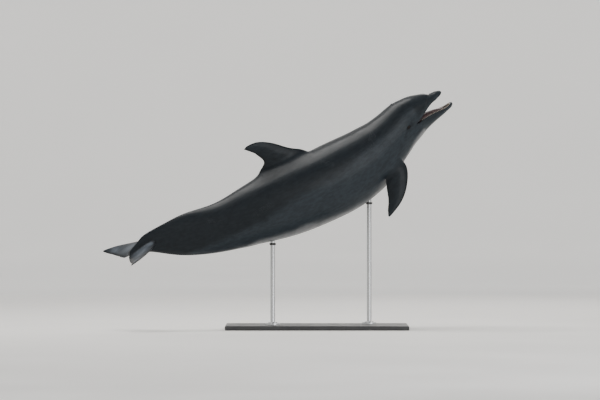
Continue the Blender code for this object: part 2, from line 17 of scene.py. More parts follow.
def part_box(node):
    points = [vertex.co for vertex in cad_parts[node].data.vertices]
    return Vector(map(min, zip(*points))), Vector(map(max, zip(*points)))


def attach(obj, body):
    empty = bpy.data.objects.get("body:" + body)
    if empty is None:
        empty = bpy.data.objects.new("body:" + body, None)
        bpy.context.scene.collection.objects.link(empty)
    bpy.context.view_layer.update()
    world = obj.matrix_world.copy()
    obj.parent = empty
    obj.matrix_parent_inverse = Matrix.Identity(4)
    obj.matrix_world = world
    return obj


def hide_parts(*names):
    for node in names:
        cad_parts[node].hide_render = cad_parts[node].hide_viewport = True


bl_info = {
    "name": "Leaping Bottlenose Dolphin",
    "version": (1, 0, 0),
    "blender": (4, 5, 0),
    "location": "3D View > Sidebar > Dolphin",
    "description": "Skin, eyes, teeth, tongue, stand and stage of a life-size dolphin model",
    "category": "Object",
}

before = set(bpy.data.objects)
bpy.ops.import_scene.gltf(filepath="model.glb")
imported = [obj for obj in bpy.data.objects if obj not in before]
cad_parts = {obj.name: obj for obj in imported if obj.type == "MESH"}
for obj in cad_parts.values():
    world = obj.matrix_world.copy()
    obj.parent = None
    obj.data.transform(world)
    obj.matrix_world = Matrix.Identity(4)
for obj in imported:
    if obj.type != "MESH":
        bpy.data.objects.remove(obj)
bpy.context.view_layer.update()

FLESH = ("upper_jaw", "melon", "head", "neck", "chest", "trunk", "tail", "tail_stock",
         "dorsal_fin", "flipper_left", "flipper_right", "fluke_left", "fluke_right",
         "lower_jaw")

# ---------------------------------------------------------------- shape of the animal
LENGTH = 2.50                       # tip of the upper jaw to the notch of the flukes
SPINE_STEPS = 400                   # steps by which the bent spine is followed
POINTS = 16                         # points in a ring: 0 left, 4 back, 8 right, 12 belly
QUARTER = POINTS // 4
LEVELS = 3                          # subdivisions of the finished skin
FIT_ROUNDS = 4                      # corrections that bring it through the cage's points
MM = 0.001
SIDEWAYS = Vector((0.0, 1.0, 0.0))
UPRIGHT = Vector((0.0, 0.0, 1.0))

YAW = math.radians(18.0)
ROLL = math.radians(9.0)
JAW_TIP = (1.1126, 0.2825, 1.6200)
LEAP = (Matrix.Translation(JAW_TIP) @ Matrix.Rotation(YAW, 4, "Z")
        @ Matrix.Rotation(ROLL, 4, "X"))

# Pitch of the spine in degrees, by share of the length behind the jaw tip.
PITCH = ((0.00, 35.0), (0.12, 35.0), (0.20, 41.0), (0.28, 38.3), (0.40, 29.6),
         (0.55, 25.1), (0.68, 19.6), (0.78, 13.9), (0.86, 13.0), (0.91, 21.0),
         (0.96, 30.0), (1.00, 32.0))

# Body landmarks: station, half width, level of the widest line, back, belly, keel power.
GAPE = 0.112
EYE = 0.140
BODY = (
    (GAPE, 0.116, -0.058, 0.119, -0.172, 0.88),
    (EYE, 0.130, -0.042, 0.127, -0.193, 0.92),
    (0.170, 0.143, -0.048, 0.122, -0.215, 0.96),
    (0.205, 0.158, -0.056, 0.127, -0.243, 1.00),
    (0.245, 0.176, -0.062, 0.146, -0.273, 1.00),
    (0.285, 0.191, -0.062, 0.166, -0.299, 1.00),
    (0.330, 0.203, -0.056, 0.186, -0.308, 1.00),
    (0.380, 0.209, -0.047, 0.204, -0.303, 1.00),
    (0.425, 0.209, -0.040, 0.214, -0.295, 1.00),
    (0.500, 0.200, -0.028, 0.219, -0.278, 1.00),
    (0.575, 0.180, -0.016, 0.214, -0.249, 1.02),
    (0.630, 0.157, -0.010, 0.194, -0.223, 1.06),
    (0.690, 0.126, -0.008, 0.159, -0.200, 1.12),
    (0.750, 0.096, -0.006, 0.147, -0.183, 1.20),
    (0.810, 0.069, -0.003, 0.140, -0.158, 1.32),
    (0.860, 0.050, -0.001, 0.112, -0.126, 1.45),
    (0.900, 0.038, 0.000, 0.086, -0.088, 1.50),
    (0.925, 0.033, 0.000, 0.078, -0.059, 1.35),
    (0.960, 0.028, 0.000, 0.044, -0.026, 1.10),
    (0.995, 0.024, 0.002, 0.014, -0.008, 1.00),
)
FLIPPER_ROWS = (0.215, 0.238, 0.261, 0.285)
FIN_ROWS = (0.425, 0.475, 0.525, 0.575)
FLUKE_ROWS = (0.918, 0.942, 0.968, 0.995)
STATIONS = (GAPE, EYE, 0.176) + FLIPPER_ROWS + (0.355,) + FIN_ROWS + (
    0.645, 0.725, 0.805, 0.865) + FLUKE_ROWS

LIP_AT_GAPE = 0.100                 # half width of the mouth where the jaws meet the head
PALATE_AT_GAPE = 0.012              # rise of the palate there
FLOOR_AT_GAPE = 0.030               # sink of the floor of the mouth there

# Upper jaw and melon, from the gape to the tip: distance behind the tip, half width of the
# lip, greatest half width, level of the lip, level of the top.
UPPER_JAW = (
    (0.225, 0.083, 0.105, -0.043, 0.108),
    (0.165, 0.066, 0.084, -0.025, 0.086),
    (0.112, 0.052, 0.060, -0.013, 0.057),
    (0.078, 0.046, 0.047, -0.012, 0.036),
    (0.048, 0.039, 0.039, -0.009, 0.030),
    (0.022, 0.028, 0.028, -0.006, 0.021),
    (0.006, 0.014, 0.014, -0.001, 0.012),
)
PALATE_RISE = 0.010                 # arch of the palate over the lips

# Lower jaw, from the gape to the tip: lip (back, level), chin (back, level), half width.
LOWER_JAW = (
    (0.225, -0.067, 0.232, -0.160, 0.083),
    (0.165, -0.076, 0.173, -0.151, 0.064),
    (0.110, -0.087, 0.118, -0.145, 0.050),
    (0.066, -0.099, 0.072, -0.141, 0.041),
    (0.028, -0.105, 0.032, -0.136, 0.032),
    (-0.002, -0.103, -0.001, -0.132, 0.022),
    (-0.021, -0.105, -0.021, -0.121, 0.011),
)
FLOOR_SINK = 0.014                  # hollow of the floor under the lips
FULL_HOLLOW = 0.05                  # half width from which palate and floor are that deep
JAW_CURVE = {"upper": 0.88, "lower": 0.85}      # roundness of a jaw's section
THROAT = (0.320, 0.60)              # end of the pocket behind the gape: distance, share of size

# Fins, from root to tip.  Each section is a leading point, a trailing point and a half
# thickness, the points measured backward and outward in the plane of the fin.
BLUNT = 0.16                        # least share of a section's thickness, at its edges
FACE_REACH = (0.03, 0.94)           # share of the chord where a fin's two faces begin and end
FIN_SLOPE = math.radians(24.8)
FIN_FOOT = (0.409, 0.217)           # station and height where the front edge meets the back
DORSAL_FIN = (
    ((0.016, 0.014), (0.372, 0.014), 0.030),
    ((0.106, 0.065), (0.323, 0.054), 0.022),
    ((0.190, 0.134), (0.335, 0.101), 0.017),
    ((0.262, 0.183), (0.361, 0.142), 0.012),
    ((0.332, 0.210), (0.392, 0.174), 0.008),
    ((0.392, 0.210), (0.416, 0.197), 0.004),
)
FLIPPER = (
    ((-0.008, 0.026), (0.164, 0.024), 0.030),
    ((0.019, 0.088), (0.188, 0.062), 0.024),
    ((0.084, 0.154), (0.221, 0.112), 0.018),
    ((0.148, 0.196), (0.254, 0.159), 0.013),
    ((0.219, 0.223), (0.291, 0.195), 0.009),
    ((0.302, 0.238), (0.316, 0.230), 0.004),
)
SPLAY = {1: math.radians(60.0), -1: math.radians(25.0)}      # left and right
FLUKE_PITCH = math.radians(34.0)
FLUKE_TURN = math.radians(2.5)      # the flukes swing a little to the animal's left
FLUKE = (                           # points here are backward and sideways, then the lift
    ((-0.018, 0.048), (0.198, 0.050), 0.015, 0.007),
    ((0.012, 0.114), (0.213, 0.116), 0.012, 0.012),
    ((0.064, 0.181), (0.222, 0.182), 0.009, 0.020),
    ((0.121, 0.240), (0.237, 0.242), 0.007, 0.031),
    ((0.180, 0.290), (0.251, 0.291), 0.005, 0.043),
    ((0.240, 0.321), (0.257, 0.320), 0.003, 0.051),
)

# Every fin: name, kind, hand, rows of the body and ring points that it grows from, sections.
FINS = (
    ("dorsal", "dorsal", 0, FIN_ROWS, (5, 4, 3), DORSAL_FIN),
    ("flipper_left", "flipper", 1, FLIPPER_ROWS, (13, 14, 15), FLIPPER),
    ("flipper_right", "flipper", -1, FLIPPER_ROWS, (11, 10, 9), FLIPPER),
    ("fluke_left", "fluke", 1, FLUKE_ROWS, (15, 0, 1), FLUKE),
    ("fluke_right", "fluke", -1, FLUKE_ROWS, (9, 8, 7), FLUKE),
)
# How far, and in how many rounds, the skin is smoothed at a fin's front and rear foot.
SOFT_FEET = {"dorsal": ((0.090, 70), (0.040, 12)), "flipper": ((0.035, 8), (0.035, 10))}
SOFT_NOTCH = (0.045, 40)            # the same for the tail's end between the flukes

TOOTH_INSET = 0.84                  # share of the lip's half width
TOOTH_REAR = 0.232                  # the last teeth, behind the jaw tip
TOOTH_TIP = {"upper": (0.042, 0.019), "lower": (0.016, -0.005)}     # where a row turns, its tip
TOOTH_ROOT = 0.004                  # how deep a tooth stands in its gum
TOOTH_LEAN = (0.0022, 0.04)         # how far a tip leans back, and in as a share of its place
# Rings of a tooth above the gum: share of its height, share of its radius.
TOOTH_RINGS = ((0.35, 0.90), (0.62, 0.68), (0.84, 0.42), (0.96, 0.20))
GUM_HEIGHT = 0.0032
GUM_WIDTH = 0.0044                  # half width of the gum
GUM_SINK = 0.004                    # how far its ends sink
# Tongue: middle, half length, share of the jaw's width, half height, depth under the lips.
TONGUE = (0.172, 0.126, 0.60, 0.021, 0.005)
TONGUE_GROOVE = (0.0032, 0.16)      # its depth, and its share of the tongue's half width
TONGUE_RIPPLE = 0.0008
# Each jaw: its table, columns of lip level and half width, depth of its hollow, and which
# way its teeth point.
JAWS = {"upper": (UPPER_JAW, 3, 1, PALATE_RISE, -1.0), "lower": (LOWER_JAW, 1, 4, FLOOR_SINK, 1.0)}

ROD_RADIUS = 0.016
ROD_DEPTH = 0.050                   # how far a rod stands inside the belly
COLLAR_DROP = 0.030                 # from where the belly's skin begins down to the collar
# Foot of a rod: width beyond the rod, or behind the foot's edge, and height over the base.
ROD_SHOULDER = ((0.0, 0.020), (0.0015, 0.0155), (0.004, 0.0130), (0.009, 0.012))
ROD_FOOT = ((-0.004, 0.012), (-0.0012, 0.0108), (0.0, 0.008), (0.0, 0.0))
SCREW_HEAD = (0.0135, 0.005)        # height of its middle over the base, and its thickness

# Places on the head: distance behind the jaw tip, sideways, level.
EYE_PLACE = (0.352, 0.1185, -0.036)
LIDS_OUT = 0.012                    # from the eye's middle out to the lids
EYE_TILT = math.radians(6.0)        # turn of the lids' long axis
EAR_PLACE = (0.412, 0.139, -0.066)
BLOWHOLE_PLACE = (0.1375, 0.004, 0.127)     # this one by station
NAVEL_STATION = 0.462
SLIT_STATION = 0.660

# Features set into the skin: rings from the outside in, each with its half width, its
# upward and downward half heights, its bend, and its rise over the skin.  All in mm.
EYELIDS = (
    (36.0, 24.0, 21.0, 0.0, 0.3),
    (30.5, 19.0, 17.0, 0.0, 1.0),
    (26.5, 16.0, 14.6, 0.0, 1.7),
    (23.8, 14.0, 12.9, 0.0, 1.5),
    (21.6, 12.8, 11.8, 0.0, 1.9),
    (19.2, 11.6, 10.6, 0.0, 2.9),
)
BLOWHOLE = (
    (20.0, 14.0, 14.0, 2.0, 1.2),
    (17.5, 9.0, 9.5, 4.5, 3.4),
    (15.5, 5.0, 5.5, 6.5, 4.2),
    (14.0, 2.4, 2.6, 7.5, 2.8),
    (13.2, 1.0, 1.0, 8.0, -2.0),
    (12.6, 0.6, 0.6, 8.0, -8.0),
)
EAR_PINHOLE = (
    (4.5, 4.5, 4.5, 0.0, -0.1),
    (2.2, 2.2, 2.2, 0.0, -0.4),
    (1.1, 1.1, 1.1, 0.0, -2.0),
    (0.6, 0.6, 0.6, 0.0, -4.0),
)
NAVEL = (
    (17.0, 9.0, 9.0, 0.0, 0.2),
    (11.0, 5.0, 5.0, 0.0, -0.6),
    (7.0, 2.2, 2.2, 0.0, -2.0),
    (4.0, 0.8, 0.8, 0.0, -3.5),
)
BELLY_SLIT = (
    (62.0, 17.0, 17.0, 0.0, 0.6),
    (54.0, 8.0, 8.0, 0.0, 2.4),
    (47.0, 3.2, 3.2, 0.0, 2.0),
    (43.0, 1.2, 1.2, 0.0, -2.0),
    (41.0, 0.6, 0.6, 0.0, -7.0),
)
# Rims of the lids over the eyeball: what each adds to the opening's half width, upward and
# downward half heights, its lift over the ball, and its least height.  All in mm.
LID_RIMS = (
    (3.6, 3.0, 2.8, 2.6, 10.9),
    (1.6, 1.5, 1.4, 2.0, 10.2),
    (0.4, 0.4, 0.4, 1.0, 8.6),
    (0.0, 0.0, 0.0, 0.1, 6.0),
    (-0.3, -0.3, -0.3, -1.6, 4.0),
)
LID_CLOSE = (0.6, -5.0, 2.0)        # the last rim, out of sight: share, lift, least height
LID_SHAPE = (1.25, 1.35)            # how pointed the lids' corners are: skin, opening

# Where the dark cape ends and the pale belly begins: station, share of the body's height.
CAPE = ((0.10, 0.80), (0.14, 0.74), (0.20, 0.72), (0.30, 0.70), (0.42, 0.62), (0.52, 0.56),
        (0.62, 0.46), (0.72, 0.32), (0.82, 0.12), (0.90, -0.2))
WHITE = ((0.10, 0.20), (0.14, 0.14), (0.20, 0.07), (0.30, 0.05), (0.40, 0.08), (0.50, 0.12),
         (0.58, 0.14), (0.64, 0.08), (0.70, -0.03), (1.0, -0.3))
RAKE_GAP = 0.0085                   # between two scratches of a group
# Old tooth rakes on the skin: distance back, level, side, turn, length, number of lines.
RAKES = (
    (0.62, 0.060, -1, 24.0, 0.150, 5),
    (0.98, 0.120, -1, -38.0, 0.110, 4),
    (1.52, 0.030, -1, 12.0, 0.170, 6),
    (1.86, 0.050, -1, -20.0, 0.120, 4),
    (0.78, 0.020, 1, -30.0, 0.140, 5),
    (1.34, 0.110, 1, 35.0, 0.120, 4),
    (1.68, 0.000, 1, -8.0, 0.160, 5),
)

# ---------------------------------------------------------------- the studio
WALL = ((31.5, 0.05), (33.0, 0.3), (35.0, 1.0), (37.0, 2.3), (39.0, 4.4), (40.5, 7.2),
        (41.5, 11.0), (42.0, 16.0), (42.0, 34.0))       # radius and height round the floor
FLOOR_RADIUS = 30.0
CAMERA_SIDE = 0.1456                # along X
CAMERA_HEIGHT = 0.8769
LAMP_AIM = Vector((0.0, 0.0, 1.0))
GLOW_NEAR = (3.0, 13.0)             # distances from the middle between which the floor's glow
GLOW_FAR = (28.0, 42.0)             # grows to the backdrop's, and the wall adds its own
LAMPS = (                           # name, place, diameter, colour
    ("key", (-1.6, 0.6, 6.8), 5.0, (1.0, 0.98, 0.95)),
    ("fill", (4.5, -6.5, 2.5), 5.0, (0.97, 0.98, 1.0)),
    ("back", (2.5, 6.0, 5.0), 4.0, (1.0, 0.97, 0.93)),
)


def glide(knots, column, at):
    """Smooth value of one column of a landmark table at a station."""
    spots = [row[0] for row in knots]
    values = [row[column] for row in knots]
    last = len(spots) - 1
    low = 0
    while low < last - 1 and spots[low + 1] < at:
        low += 1

    def slope(index):
        if index in (0, last):
            return 0.0
        before = (values[index] - values[index - 1]) / (spots[index] - spots[index - 1])
        after = (values[index + 1] - values[index]) / (spots[index + 1] - spots[index])
        return 0.0 if before * after <= 0.0 else 2.0 * before * after / (before + after)

    step = spots[low + 1] - spots[low]
    share = min(1.0, max(0.0, (at - spots[low]) / step))
    rise = values[low + 1] - values[low]
    ease = share * share * (3.0 - 2.0 * share)
    bend_in = share * (1.0 - share) ** 2 * slope(low) * step
    bend_out = share * share * (share - 1.0) * slope(low + 1) * step
    return values[low] + rise * ease + bend_in + bend_out


def bearings(pitch):
    """The directions forward and upward at a pitch."""
    return (Vector((math.cos(pitch), 0.0, math.sin(pitch))),
            Vector((-math.sin(pitch), 0.0, math.cos(pitch))))


def spine(station):
    """Point of the spine at a station, with the directions forward and up the back."""
    steps = max(1, round(station * SPINE_STEPS))
    point = Vector((0.0, 0.0, 0.0))
    for index in range(steps):
        pitch = math.radians(glide(PITCH, 1, station * (index + 0.5) / steps))
        stride = LENGTH * station / steps
        point -= Vector((math.cos(pitch), 0.0, math.sin(pitch))) * stride
    return point, *bearings(math.radians(glide(PITCH, 1, station)))


def angle(index):
    """Angle of a ring point, from the left side up over the back."""
    return 2.0 * math.pi * index / POINTS


def squeeze(value, power):
    """A value raised to a power, its sign kept."""
    return math.copysign(abs(value) ** power, value)


def body_ring(station):
    """The sixteen points of the body at a station."""
    centre, _, upward = spine(station)
    half, level, back, belly, power = [glide(BODY, column, station) for column in range(1, 6)]
    ring = []
    for index in range(POINTS):
        turn = angle(index)
        reach = back - level if math.sin(turn) >= 0.0 else level - belly
        side = half * squeeze(math.cos(turn), power)
        if station == GAPE and index % (2 * QUARTER) == 0:
            side = math.copysign(LIP_AT_GAPE, side)
        ring.append(centre + SIDEWAYS * side + upward * (level + reach * math.sin(turn)))
    return ring


def head_point(back, side, level):
    """A point of the head, whose frame is straight as far as the gape."""
    centre, forward, upward = spine(GAPE)
    return centre + forward * (GAPE * LENGTH - back) + upward * level + SIDEWAYS * side


def eye_centre(hand):
    """Middle of the left (1) or right (-1) eyeball."""
    back, side, level = EYE_PLACE
    return head_point(back, hand * side, level)


def upper_jaw_ring(row):
    """Lip and melon over the top, then the palate back from right to left."""
    back, lip, widest, level, top = row
    ring = []
    for index in range(2 * QUARTER + 1):
        turn = angle(index)
        half = lip if index % (2 * QUARTER) == 0 else widest
        side = half * squeeze(math.cos(turn), JAW_CURVE["upper"])
        ring.append(head_point(back, side, level + (top - level) * math.sin(turn)))
    for index in range(2 * QUARTER - 1, 0, -1):
        turn = angle(index)
        rise = PALATE_RISE * min(1.0, lip / FULL_HOLLOW) * math.sin(turn)
        ring.append(head_point(back, lip * math.cos(turn), level + rise))
    return ring


def lower_jaw_ring(row):
    """Lip and chin under the bottom from right to left, then the floor of the mouth."""
    lip_back, lip_level, chin_back, chin_level, half = row
    ring = []
    for index in range(2 * QUARTER, POINTS + 1):
        turn = angle(index)
        drop = -math.sin(turn)
        back = lip_back + (chin_back - lip_back) * drop
        level = lip_level + (chin_level - lip_level) * drop
        ring.append(head_point(back, half * squeeze(math.cos(turn), JAW_CURVE["lower"]), level))
    for index in range(1, 2 * QUARTER):
        turn = angle(index)
        sink = FLOOR_SINK * min(1.0, half / FULL_HOLLOW) * math.sin(turn)
        ring.append(head_point(lip_back, half * math.cos(turn), lip_level - sink))
    return ring


def gape_line(rise):
    """The palate or the floor of the mouth, from left to right, where the jaws meet the head."""
    level = glide(BODY, 2, GAPE)
    turns = [angle(index) for index in range(1, 2 * QUARTER)]
    return [head_point(GAPE * LENGTH, LIP_AT_GAPE * math.cos(turn), level + rise * math.sin(turn))
            for turn in turns]


def face_out(mesh):
    """Turn every face outward, on normals worked out afresh."""
    mesh.normal_update()
    bmesh.ops.recalc_face_normals(mesh, faces=mesh.faces)


def once(items):
    """Each item once, in the order in which it first comes."""
    return list(dict.fromkeys(items))


def rim_edges(verts):
    """All edges that meet some vertices."""
    return once(edge for vert in verts for edge in vert.link_edges)


def grown_parts(result, edges=True):
    """The new vertices, and the new edges or faces, of an extrusion."""
    kind = bmesh.types.BMEdge if edges else bmesh.types.BMFace
    verts = [item for item in result["geom"] if isinstance(item, bmesh.types.BMVert)]
    return verts, [item for item in result["geom"] if isinstance(item, kind)]


def numbered_ring(mesh, layer, count, cap_ends):
    """A circle with its vertices numbered round it: the vertices and the edges."""
    verts = bmesh.ops.create_circle(mesh, segments=count, radius=1.0, cap_ends=cap_ends)["verts"]
    for vert in verts:
        turn = math.atan2(vert.co.y, vert.co.x)
        vert[layer] = round(turn * count / (2.0 * math.pi)) % count
    return verts, rim_edges(verts)


def tube(mesh, rings, numbered=False, inner=(), jaw=0.0):
    """Loft sixteen-point rings one after another and close the last."""
    ints = mesh.verts.layers.int
    floats = mesh.verts.layers.float
    verts, edges = numbered_ring(mesh, ints["spot"], POINTS, False)
    for number, ring in enumerate(rings):
        if number:
            verts, edges = grown_parts(bmesh.ops.extrude_edge_only(mesh, edges=edges))
        for vert in verts:
            spot = vert[ints["spot"]]
            vert.co = ring[spot]
            vert[ints["row"]] = 1 + number if numbered else 0
            vert[floats["inside"]] = float(spot in inner)
            vert[floats["jaw"]] = jaw if number else 0.0
    bmesh.ops.contextual_create(mesh, geom=edges)


def section_point(section, share, side, normal, place):
    """A point of a fin section: share of the chord, and which face it is on."""
    lead, trail, half = section[:3]
    lift = section[3] if len(section) > 3 else 0.0
    back = lead[0] + (trail[0] - lead[0]) * share
    out = lead[1] + (trail[1] - lead[1]) * share
    # The curve is 1 at its thickest, a third of the way back.
    plump = max(BLUNT, 2.598 * math.sqrt(share) * (1.0 - share))
    origin, backward, outward = place
    return origin + backward * back + outward * out + normal * (lift + side * half * plump)


def grow_fin(mesh, kind, rows, columns, sections, place, normal):
    """Extrude a patch of the body, two columns wide, through the sections of a fin."""
    ints = mesh.verts.layers.int
    floats = mesh.verts.layers.float
    row_of, spot = ints["row"], ints["spot"]
    count = len(rows)
    corners = {(rows[r], columns[c]) for r in range(count) for c in range(3)}
    patch = [face for face in mesh.faces
             if all((v[row_of], v[spot]) in corners for v in face.verts)]
    for vert in once(vert for face in patch for vert in face.verts):
        vert[ints["foot"]] = 1
        vert[floats["chord"]] = rows.index(vert[row_of]) / (count - 1.0)
    for number, section in enumerate(sections):
        grown = bmesh.ops.extrude_face_region(mesh, geom=patch)
        bmesh.ops.delete(mesh, geom=patch, context="FACES")
        verts, patch = grown_parts(grown, edges=False)
        for vert in verts:
            share = rows.index(vert[row_of]) / (count - 1.0)
            side = columns.index(vert[spot]) - 1
            vert[floats["chord"]] = share
            vert[floats[kind]] = (number + 1.0) / len(sections)
            if side:
                share = min(FACE_REACH[1], max(FACE_REACH[0], share))
            vert.co = section_point(section, share, side, normal, place)
            vert[ints["foot"]] = 0


def fin_frames():
    """Origin, backward and outward directions and normal of each fin."""
    point, _, upward = spine(FIN_FOOT[0])
    slope, rise = bearings(FIN_SLOPE)
    places = {"dorsal": ((point + upward * FIN_FOOT[1], -slope, rise), SIDEWAYS)}
    for name, kind, hand, rows, columns, _ in FINS:
        if kind == "flipper":
            foot = body_ring(rows[0])[columns[1]]
            _, forward, upward = spine(rows[1])
            turn = SPLAY[hand]
            outward = SIDEWAYS * hand * math.sin(turn) - upward * math.cos(turn)
            normal = SIDEWAYS * hand * math.cos(turn) + upward * math.sin(turn)
            places[name] = ((foot, -forward, outward), normal)
        elif kind == "fluke":
            level, lift = bearings(FLUKE_PITCH)
            swing = Matrix.Rotation(FLUKE_TURN, 3, lift)
            places[name] = ((spine(rows[0])[0], swing @ -level, swing @ SIDEWAYS * hand), lift)
    return places


def cage():
    """The whole skin as a coarse cage of four-sided faces."""
    mesh = bmesh.new()
    for name in ("spot", "row", "foot"):
        mesh.verts.layers.int.new(name)
    for name in ("inside", "jaw", "dorsal", "flipper", "fluke", "chord"):
        mesh.verts.layers.float.new(name)
    rings = [body_ring(station) for station in STATIONS]
    tube(mesh, rings, numbered=True)

    places = fin_frames()
    for name, kind, _, rows, columns, sections in FINS:
        numbers = [1 + STATIONS.index(station) for station in rows]
        place, normal = places[name]
        grow_fin(mesh, kind, numbers, columns, sections, place, normal)

    gape = rings[0]
    palate, floor = gape_line(PALATE_AT_GAPE), gape_line(-FLOOR_AT_GAPE)
    inner = range(2 * QUARTER + 1, POINTS)
    upper = gape[:2 * QUARTER + 1] + palate[::-1]
    lower = gape[2 * QUARTER:] + gape[:1] + floor
    tube(mesh, [upper] + [upper_jaw_ring(row) for row in UPPER_JAW], inner=inner, jaw=1.0)
    tube(mesh, [lower] + [lower_jaw_ring(row) for row in LOWER_JAW], inner=inner, jaw=-1.0)
    mouth = [gape[0]] + palate + [gape[2 * QUARTER]] + floor[::-1]
    middle = sum(mouth, Vector()) / POINTS
    back, share = THROAT
    shift = head_point(back, 0.0, 0.0) - head_point(GAPE * LENGTH, 0.0, 0.0)
    pocket = [middle + (point - middle) * share + shift for point in mouth]
    tube(mesh, [mouth, pocket], inner=set(range(POINTS)) - {0, 2 * QUARTER})
    bmesh.ops.remove_doubles(mesh, verts=mesh.verts, dist=1e-6)
    face_out(mesh)
    return mesh


# ---------------------------------------------------------------- helpers for pieces
def evaluated(obj):
    """A plain mesh of an object with its modifiers applied."""
    graph = bpy.context.evaluated_depsgraph_get()
    graph.update()
    return bpy.data.meshes.new_from_object(obj.evaluated_get(graph))


def show(name, mesh):
    """A scene object of a finished bmesh, shaded smooth."""
    data = bpy.data.meshes.new(name)
    mesh.to_mesh(data)
    mesh.free()
    data.shade_smooth()
    obj = bpy.data.objects.new(name, data)
    bpy.context.scene.collection.objects.link(obj)
    return obj


def paint(obj, finish):
    """Give a piece its one material."""
    obj.data.materials.clear()
    obj.data.materials.append(finish.material)


def settle(obj, finish, slot, *nodes):
    """Give a finished piece its material and body, and hide the nodes it stands for; slot is not
    used.
    """
    paint(obj, finish)
    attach(obj, "root")
    if nodes:
        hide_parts(*nodes)


def widen(mesh, edges, middle, profile):
    """Extrude a round rim through circles of given radius and height about an upright axis."""
    x, y = middle
    for radius, height in profile:
        verts, edges = grown_parts(bmesh.ops.extrude_edge_only(mesh, edges=edges))
        for vert in verts:
            grow = radius / math.hypot(vert.co.x - x, vert.co.y - y)
            vert.co = (x + (vert.co.x - x) * grow, y + (vert.co.y - y) * grow, height)


def ramp(low, high, value):
    """Smooth step from 0 at low to 1 at high."""
    share = np.clip((value - low) / (high - low), 0.0, 1.0)
    return share * share * (3.0 - 2.0 * share)


def hump(value, middle, width):
    """A bell of height 1 about a middle value."""
    return np.exp(-((value - middle) / width) ** 2)


def along(knots, at, column=1):
    """Values of one column of a table at many stations."""
    return np.interp(at, [row[0] for row in knots], [row[column] for row in knots])


def jaw_value(rows, column, back):
    """Value along a jaw at a distance behind the upper tip, read from its table."""
    for near, far in zip(rows[1:], rows[:-1]):
        if near[0] <= back <= far[0]:
            share = (back - near[0]) / (far[0] - near[0])
            return near[column] + (far[column] - near[column]) * share
    return rows[0][column]


def tooth_line(jaw):
    """The line of a jaw's teeth, from the rear left round the tip to the rear right.

    Gives the distance along it, and how far back, sideways and at what level it runs."""
    rows, lip, half, hollow, rise = JAWS[jaw]
    along_side, round_tip = 40, 25      # points of the line
    turn, tip = TOOTH_TIP[jaw]
    inset = math.sqrt(1.0 - TOOTH_INSET ** 2)
    line = [(back, 1.0) for back in np.linspace(TOOTH_REAR, turn, along_side)]
    line += [(turn - (turn - tip) * math.sin(bend), math.cos(bend))
             for bend in np.linspace(0.0, math.pi, round_tip)[1:-1]]
    line += [(back, -1.0) for back in np.linspace(turn, TOOTH_REAR, along_side)]
    points = []
    for back, reach in line:
        width = jaw_value(rows, half, back)
        near = 0.90 + 0.10 * float(ramp(turn, turn + 0.05, back))
        side = jaw_value(rows, half, max(back, turn)) * TOOTH_INSET * near * reach
        depth = hollow * min(1.0, width / FULL_HOLLOW) * inset
        points.append((back, side, jaw_value(rows, lip, back) - rise * depth))
    points = np.array(points)
    steps = np.linalg.norm(np.diff(points, axis=0), axis=1)
    return np.concatenate(([0.0], np.cumsum(steps))), points


def on_line(line, at):
    """The point of a tooth line at a distance, and its unit direction across the line."""
    reach, points = line
    step = 2.0 * MM
    point = [np.interp(at, reach, points[:, axis]) for axis in range(3)]
    near, far = [[np.interp(spot, reach, points[:, axis]) for axis in range(2)]
                 for spot in (max(0.0, at - step), min(reach[-1], at + step))]
    across = Vector((far[1] - near[1], near[0] - far[0])).normalized()
    return point, across


# ---------------------------------------------------------------- the skin's shape and tones
def smooth_skin():
    """Subdivide the cage so that the finished skin passes through the cage's own points.

    Only the feet of the fins are left to round themselves off."""
    skin = show("dolphin_skin", cage())
    smooth = skin.modifiers.new("smooth", "SUBSURF")
    smooth.levels = LEVELS
    smooth.render_levels = LEVELS
    data = skin.data
    aims = [vert.co.copy() for vert in data.vertices]
    firm = [1.0 - mark.value for mark in data.attributes["foot"].data]
    for _ in range(FIT_ROUNDS):
        settled = evaluated(skin)
        for vert, aim, reached, share in zip(data.vertices, aims, settled.vertices, firm):
            vert.co += (aim - reached.co) * share
        bpy.data.meshes.remove(settled)
        data.update()
    mesh = bmesh.new()
    settled = evaluated(skin)
    mesh.from_mesh(settled)
    bpy.data.meshes.remove(settled)
    bpy.data.objects.remove(skin, do_unlink=True)
    bpy.data.meshes.remove(data)
    return mesh


def nearest_vert(mesh, point):
    """The vertex of a mesh that lies nearest to a point."""
    return min(mesh.verts, key=lambda vert: (vert.co - point).length_squared)


def open_patch(mesh, seed, steps):
    """Take a patch of skin round a vertex away, and give its rim's edges and vertices in order."""
    faces = list(seed.link_faces)
    for _ in range(steps - 1):
        near = once(vert for face in faces for vert in face.verts)
        faces = once(face for vert in near for face in vert.link_faces)
    edges = once(edge for face in faces for edge in face.edges)
    rim = [edge for edge in edges if sum(face in faces for face in edge.link_faces) == 1]
    bmesh.ops.delete(mesh, geom=faces, context="FACES")
    order = list(rim[0].verts)
    while len(order) < len(rim):
        for edge in order[-1].link_edges:
            if edge in rim and edge.other_vert(order[-1]) is not order[-2]:
                order.append(edge.other_vert(order[-1]))
                break
    return rim, order


def rim_turn(order, wide, tall):
    """The angle of a rim's first vertex about its middle, and the step to the next."""
    middle = sum((vert.co for vert in order), Vector()) / len(order)
    turns = []
    for vert in order:
        offset = vert.co - middle
        turns.append(math.atan2(offset.dot(tall), offset.dot(wide)))
    spin = sum((there - here + math.pi) % (2.0 * math.pi) - math.pi
               for here, there in zip(turns, turns[1:] + turns[:1]))
    step = math.copysign(2.0 * math.pi, spin) / len(order)
    lag = [turn - step * place for place, turn in enumerate(turns)]
    return math.atan2(sum(map(math.sin, lag)), sum(map(math.cos, lag))), step


